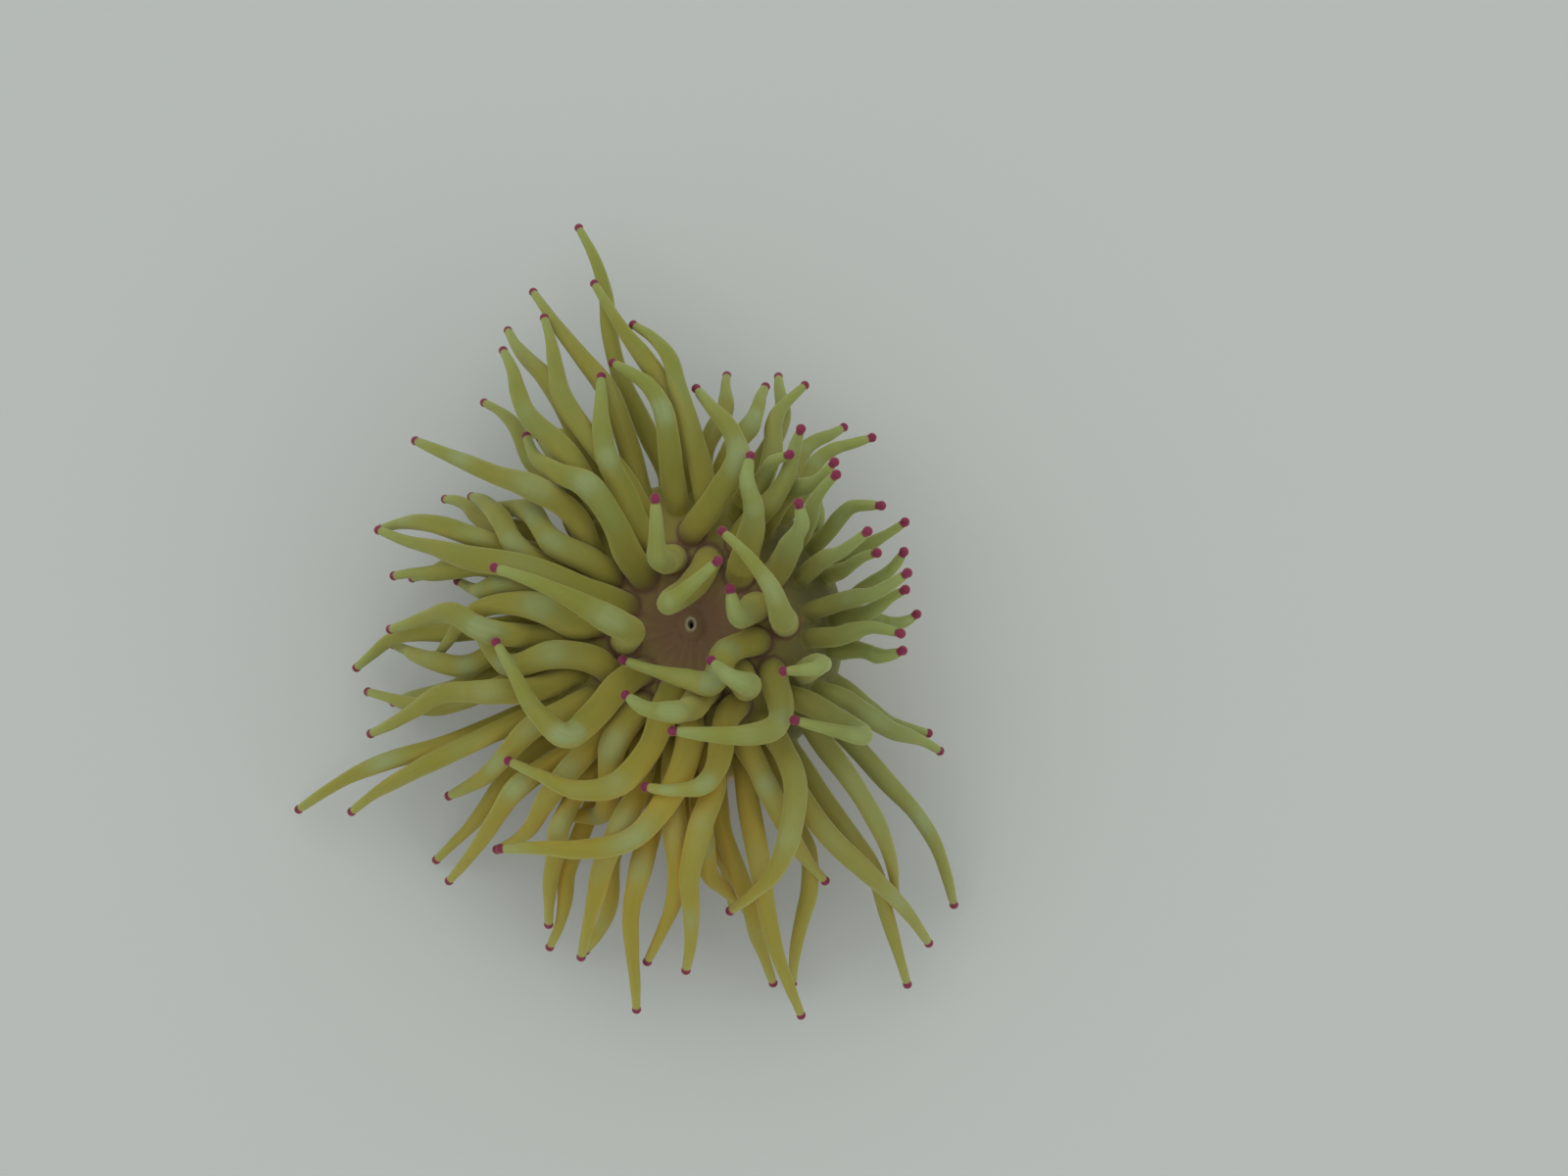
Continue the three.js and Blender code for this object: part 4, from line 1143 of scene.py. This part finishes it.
# painted shade: the dark of the slit that leads into the throat
THROAT_PAINTED_SHADE = (0.02, 0.014, 0.01)
THROAT_NARROWING = 0.9  # the painted shade of the slit is this much narrower, per millimetre across
COLUMN_SALMON = (0.50, 0.315, 0.190)
COLUMN_ROSE = (0.46, 0.240, 0.160)
COLUMN_LINE = (0.62, 0.43, 0.29)
TIP_MAGENTA = (0.172, 0.021, 0.066)
TIP_COLOUR_END = (1.95, 1.60)  # millimetres from the tip
SHEEN_TINT = (0.85, 0.90, 0.45)
STREAK_SHAPE = (1.9, 1.9, 0.045)  # how fast the streaks change round a tentacle and along it
STREAK_SHIFT = 37.0  # no two tentacles have the same streaks
FLOOR_GREY = (0.515, 0.525, 0.505)
ROOM_LIGHT = (0.90, 0.95, 0.94)
ROOM_STRENGTH = 0.7


def tentacle_tint(n, y, own, broad, fine, streaks):
    """Olive to ochre flesh. Painted light through the flesh turns it to gold on the side that lies over
    the floor, and a painted glow lightens it where other tentacles shelter it. It is shaded green in the
    crowd and darkened by painted shade at the crowd's roots. It is paler on arches, partly as a painted
    highlight, in fine flecks and towards the thin ends."""
    # mask of the painted light through the flesh, on the side where the tentacles lie over the floor
    backlit_side = n.steps(y, *PAINTED_BACKLIGHT_SIDE)
    colour = n.mix(n.scaled(own, 0.35, n.scaled(broad, 0.2)), OLIVE, OCHRE)
    return n.layers(
        colour,
        (backlit_side, 0.8, PAINTED_BACKLIGHT_GOLD),
        # painted glow where other tentacles shelter the flesh
        (n.tone("shelter"), 0.9, n.mix(backlit_side, PAINTED_GLOW, GOLD_PAINTED_GLOW)),
        (n.tone("crowd"), 0.7, SHADE_GREEN),
        (n.tone("gap"), 0.8, GAP_PAINTED_SHADE),
        (n.tone("pale"), n.scaled(streaks, 0.35, 0.72), PALE_AND_HIGHLIGHT),
        (n.steps(fine, 0.5, 0.72), 0.10, PALE_AND_HIGHLIGHT),
        (streaks, 0.10, OCHRE),
        (n.steps(n.tone("to_tip"), *THIN_END), n.scaled(backlit_side, -0.3, 0.4), THIN_GREEN),
    )


def disc_tint(n, x, y, wavy, broad, fine):
    """Brown skin with faint radial lines, paler round the mouth, with pale lips and painted shade for the
    dark slit into the throat.
    """
    across = n.math("DIVIDE", x, MOUTH_WIDTH * MILLIMETRE)
    along = n.math("DIVIDE", y, MOUTH_WIDTH * MOUTH_STRETCH * MILLIMETRE)
    q = n.math("SQRT", n.math("ADD", n.math("POWER", across, 2.0), n.math("POWER", along, 2.0)))
    slit = n.scaled(n.math("ABSOLUTE", x), THROAT_NARROWING / MILLIMETRE, q)
    return n.layers(
        DISC_BROWN,
        (n.steps(n.math("COSINE", wavy), 0.55, 1.0), n.scaled(broad, 0.22, 0.05), DISC_LINE),
        (n.steps(q, 3.4, 1.4), 0.35, DISC_LINE),
        (n.steps(q, 1.6, 1.0), n.scaled(fine, 0.9, 0.4), LIP_WHITE),
        (n.steps(slit, 0.85, 0.45), 1.0, THROAT_PAINTED_SHADE),
    )


def column_tint(n, wavy, broad, fine):
    """Soft patches of two tints, with faint pale lines down the column and small pale flecks."""
    line = n.steps(n.math("COSINE", n.scaled(broad, 2.2, wavy)), 0.2, 1.0)
    return n.layers(
        n.mix(broad, COLUMN_SALMON, COLUMN_ROSE),
        (line, n.scaled(broad, 0.2, 0.05), COLUMN_LINE),
        (n.steps(fine, 0.55, 0.75), 0.4, COLUMN_LINE),
    )


def flesh_material():
    """Soft translucent flesh, tinted by the skin's tones, with faint streaks along the tentacles."""
    material = bpy.data.materials.new("anemone_flesh")
    material.use_nodes = True
    material.node_tree.nodes.clear()
    n = Nodes(material.node_tree)
    place = n.add("ShaderNodeTexCoord").outputs["Object"]
    uneven = n.add("ShaderNodeGroup", node_tree=mottle_group())
    n.fill(uneven.inputs["Place"], place)
    broad, fine = uneven.outputs["Broad"], uneven.outputs["Fine"]
    parts = n.add("ShaderNodeSeparateXYZ", {0: place})
    x, y = parts.outputs["X"], parts.outputs["Y"]

    own, column = n.tone("own"), n.tone("column")
    stretched = n.vector("MULTIPLY", n.tone("lie", "Vector"), STREAK_SHAPE)
    apart = n.add("ShaderNodeCombineXYZ", {2: n.scaled(own, STREAK_SHIFT)}).outputs[0]
    streaks = n.steps(n.noise(n.vector("ADD", stretched, apart), 1.6, 0.6), 0.35, 0.7)
    turn = n.math("ARCTAN2", y, x)
    wavy = n.scaled(n.math("SINE", n.scaled(turn, 3.0)), 0.8, n.scaled(turn, float(RIDGES)))
    colour = n.layers(
        tentacle_tint(n, y, own, broad, fine, streaks),
        (n.tone("disc"), 1.0, disc_tint(n, x, y, wavy, broad, fine)),
        (column, 1.0, column_tint(n, wavy, broad, fine)),
        (n.steps(n.tone("to_tip"), *TIP_COLOUR_END), 1.0, TIP_MAGENTA),
    )
    grain = n.math("MULTIPLY", streaks, n.scaled(column, -0.35, 0.35))
    height = n.scaled(fine, 0.5, grain)
    bump = n.add("ShaderNodeBump", {"Height": height, "Strength": 0.15, "Distance": 0.0003})
    shader = n.add("ShaderNodeBsdfPrincipled", {
        "Base Color": colour,
        "Roughness": n.scaled(fine, 0.16, n.scaled(broad, 0.08, 0.40)),
        "Normal": bump.outputs[0],
        "Subsurface Weight": 0.85,
        "Subsurface Radius": (1.0, 0.85, 0.35),
        "Subsurface Scale": 0.004,
        "Specular IOR Level": 0.22,
        "IOR": 1.38,
        "Sheen Weight": 0.26,
        "Sheen Roughness": 0.45,
        "Sheen Tint": (*SHEEN_TINT, 1.0),
    })
    n.add("ShaderNodeOutputMaterial", {0: shader.outputs[0]})
    return material


def floor_material():
    """A plain pale floor without any gloss."""
    material = bpy.data.materials.new("pale_floor")
    material.use_nodes = True
    shader = material.node_tree.nodes["Principled BSDF"].inputs
    shader["Base Color"].default_value = (*FLOOR_GREY, 1)
    shader["Roughness"].default_value = 0.9
    shader["Specular IOR Level"].default_value = 0.0
    return material


# ------------------------------------------------------------------ the scene
FLOOR_HALF = 12.0  # metres
LIT_POINT = (0, 0, 0.03)
LENS = 50.0
CAMERA_ELEVATION = 80.0
CAMERA_DISTANCE = 388.9
CAMERA_RIGHT = 16.6  # the picture's middle lies this far right of the axis
CAMERA_ABOVE = 6.5  # and this far above it in the picture


def lay_floor():
    """A square floor far larger than the animal."""
    mesh = bpy.data.meshes.new("floor")
    signs = ((-1, -1), (1, -1), (1, 1), (-1, 1))
    mesh.from_pydata([(x * FLOOR_HALF, y * FLOOR_HALF, 0) for x, y in signs], [], [(0, 1, 2, 3)])
    mesh.materials.append(floor_material())
    return placed("floor", mesh)


def soft_light(name, place, size, power, colour):
    """A square area light at a place, turned to the animal."""
    light = bpy.data.lights.new(name, "AREA")
    light.size = size
    light.energy = power
    light.color = colour
    lamp = placed(name, light)
    lamp.location = place
    lamp.rotation_mode = "QUATERNION"
    lamp.rotation_quaternion = (Vector(LIT_POINT) - Vector(place)).to_track_quat("-Z", "Y")


def room_light():
    """An even pale light from all sides. Seen itself, it is as dark as the floor that it lights,
    so that floor and room meet without a line."""
    world = bpy.data.worlds.new("room")
    world.use_nodes = True
    n = Nodes(world.node_tree)
    seen = n.add("ShaderNodeLightPath").outputs["Is Camera Ray"]
    floor_seen = tuple(light * grey for light, grey in zip(ROOM_LIGHT, FLOOR_GREY))
    background = world.node_tree.nodes["Background"].inputs
    n.fill(background["Color"], n.mix(seen, ROOM_LIGHT, floor_seen))
    background["Strength"].default_value = ROOM_STRENGTH
    return world


def make_camera():
    """A camera high above the floor, with the mouth left of and below the picture's middle."""
    elevation = np.radians(CAMERA_ELEVATION)
    up = np.array([0.0, np.sin(elevation), np.cos(elevation)])
    ahead = np.array([0.0, np.cos(elevation), -np.sin(elevation)])
    target = np.array([CAMERA_RIGHT, 0.0, DISC_HEIGHT]) + CAMERA_ABOVE * up
    data = bpy.data.cameras.new("camera")
    data.lens = LENS
    data.sensor_width = 36.0
    camera = placed("camera", data)
    camera.location = (target - CAMERA_DISTANCE * ahead) * MILLIMETRE
    camera.rotation_mode = "QUATERNION"
    camera.rotation_quaternion = Vector(ahead).to_track_quat("-Z", "Y")
    bpy.context.scene.camera = camera


def grow_crown():
    """The relaxed crown: its smooth lines with their thickness, running lengths and bends, each
    tentacle's shape and place, and where its root lies along the skin."""
    knots, shapes, leaving, cycles, azimuths, lucks = lay_out_crown()
    lines = smooth_lines(relax(knots, shapes), leaving)
    widths = thickness(shapes, np.linspace(0, 1, FINE)[None])
    lines = settle(lines, widths)
    run = running_length(lines)
    root_runs = np.array([root_run_of(cycle) for cycle in CYCLES])[cycles]
    return dict(
        lines=lines, widths=widths, run=run, bends=bends_of(lines, run), shapes=shapes, leaving=leaving,
        cycles=cycles, azimuths=azimuths, lucks=lucks, root_runs=root_runs,
    )


skin = mesh_of("anemone_skin", build_skin(grow_crown()))
skin.data.materials.append(flesh_material())
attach(skin, "root")
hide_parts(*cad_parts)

floor = lay_floor()

soft_light("overhead_softbox", (-0.2, 0.2, 1.3), 1.8, 7.0, (0.97, 1.0, 0.98))
soft_light("side_softbox", (0.8, -0.7, 0.6), 0.8, 1.2, (1.0, 0.97, 0.92))
bpy.context.scene.world = room_light()
bpy.context.scene.view_settings.view_transform = "Standard"

make_camera()
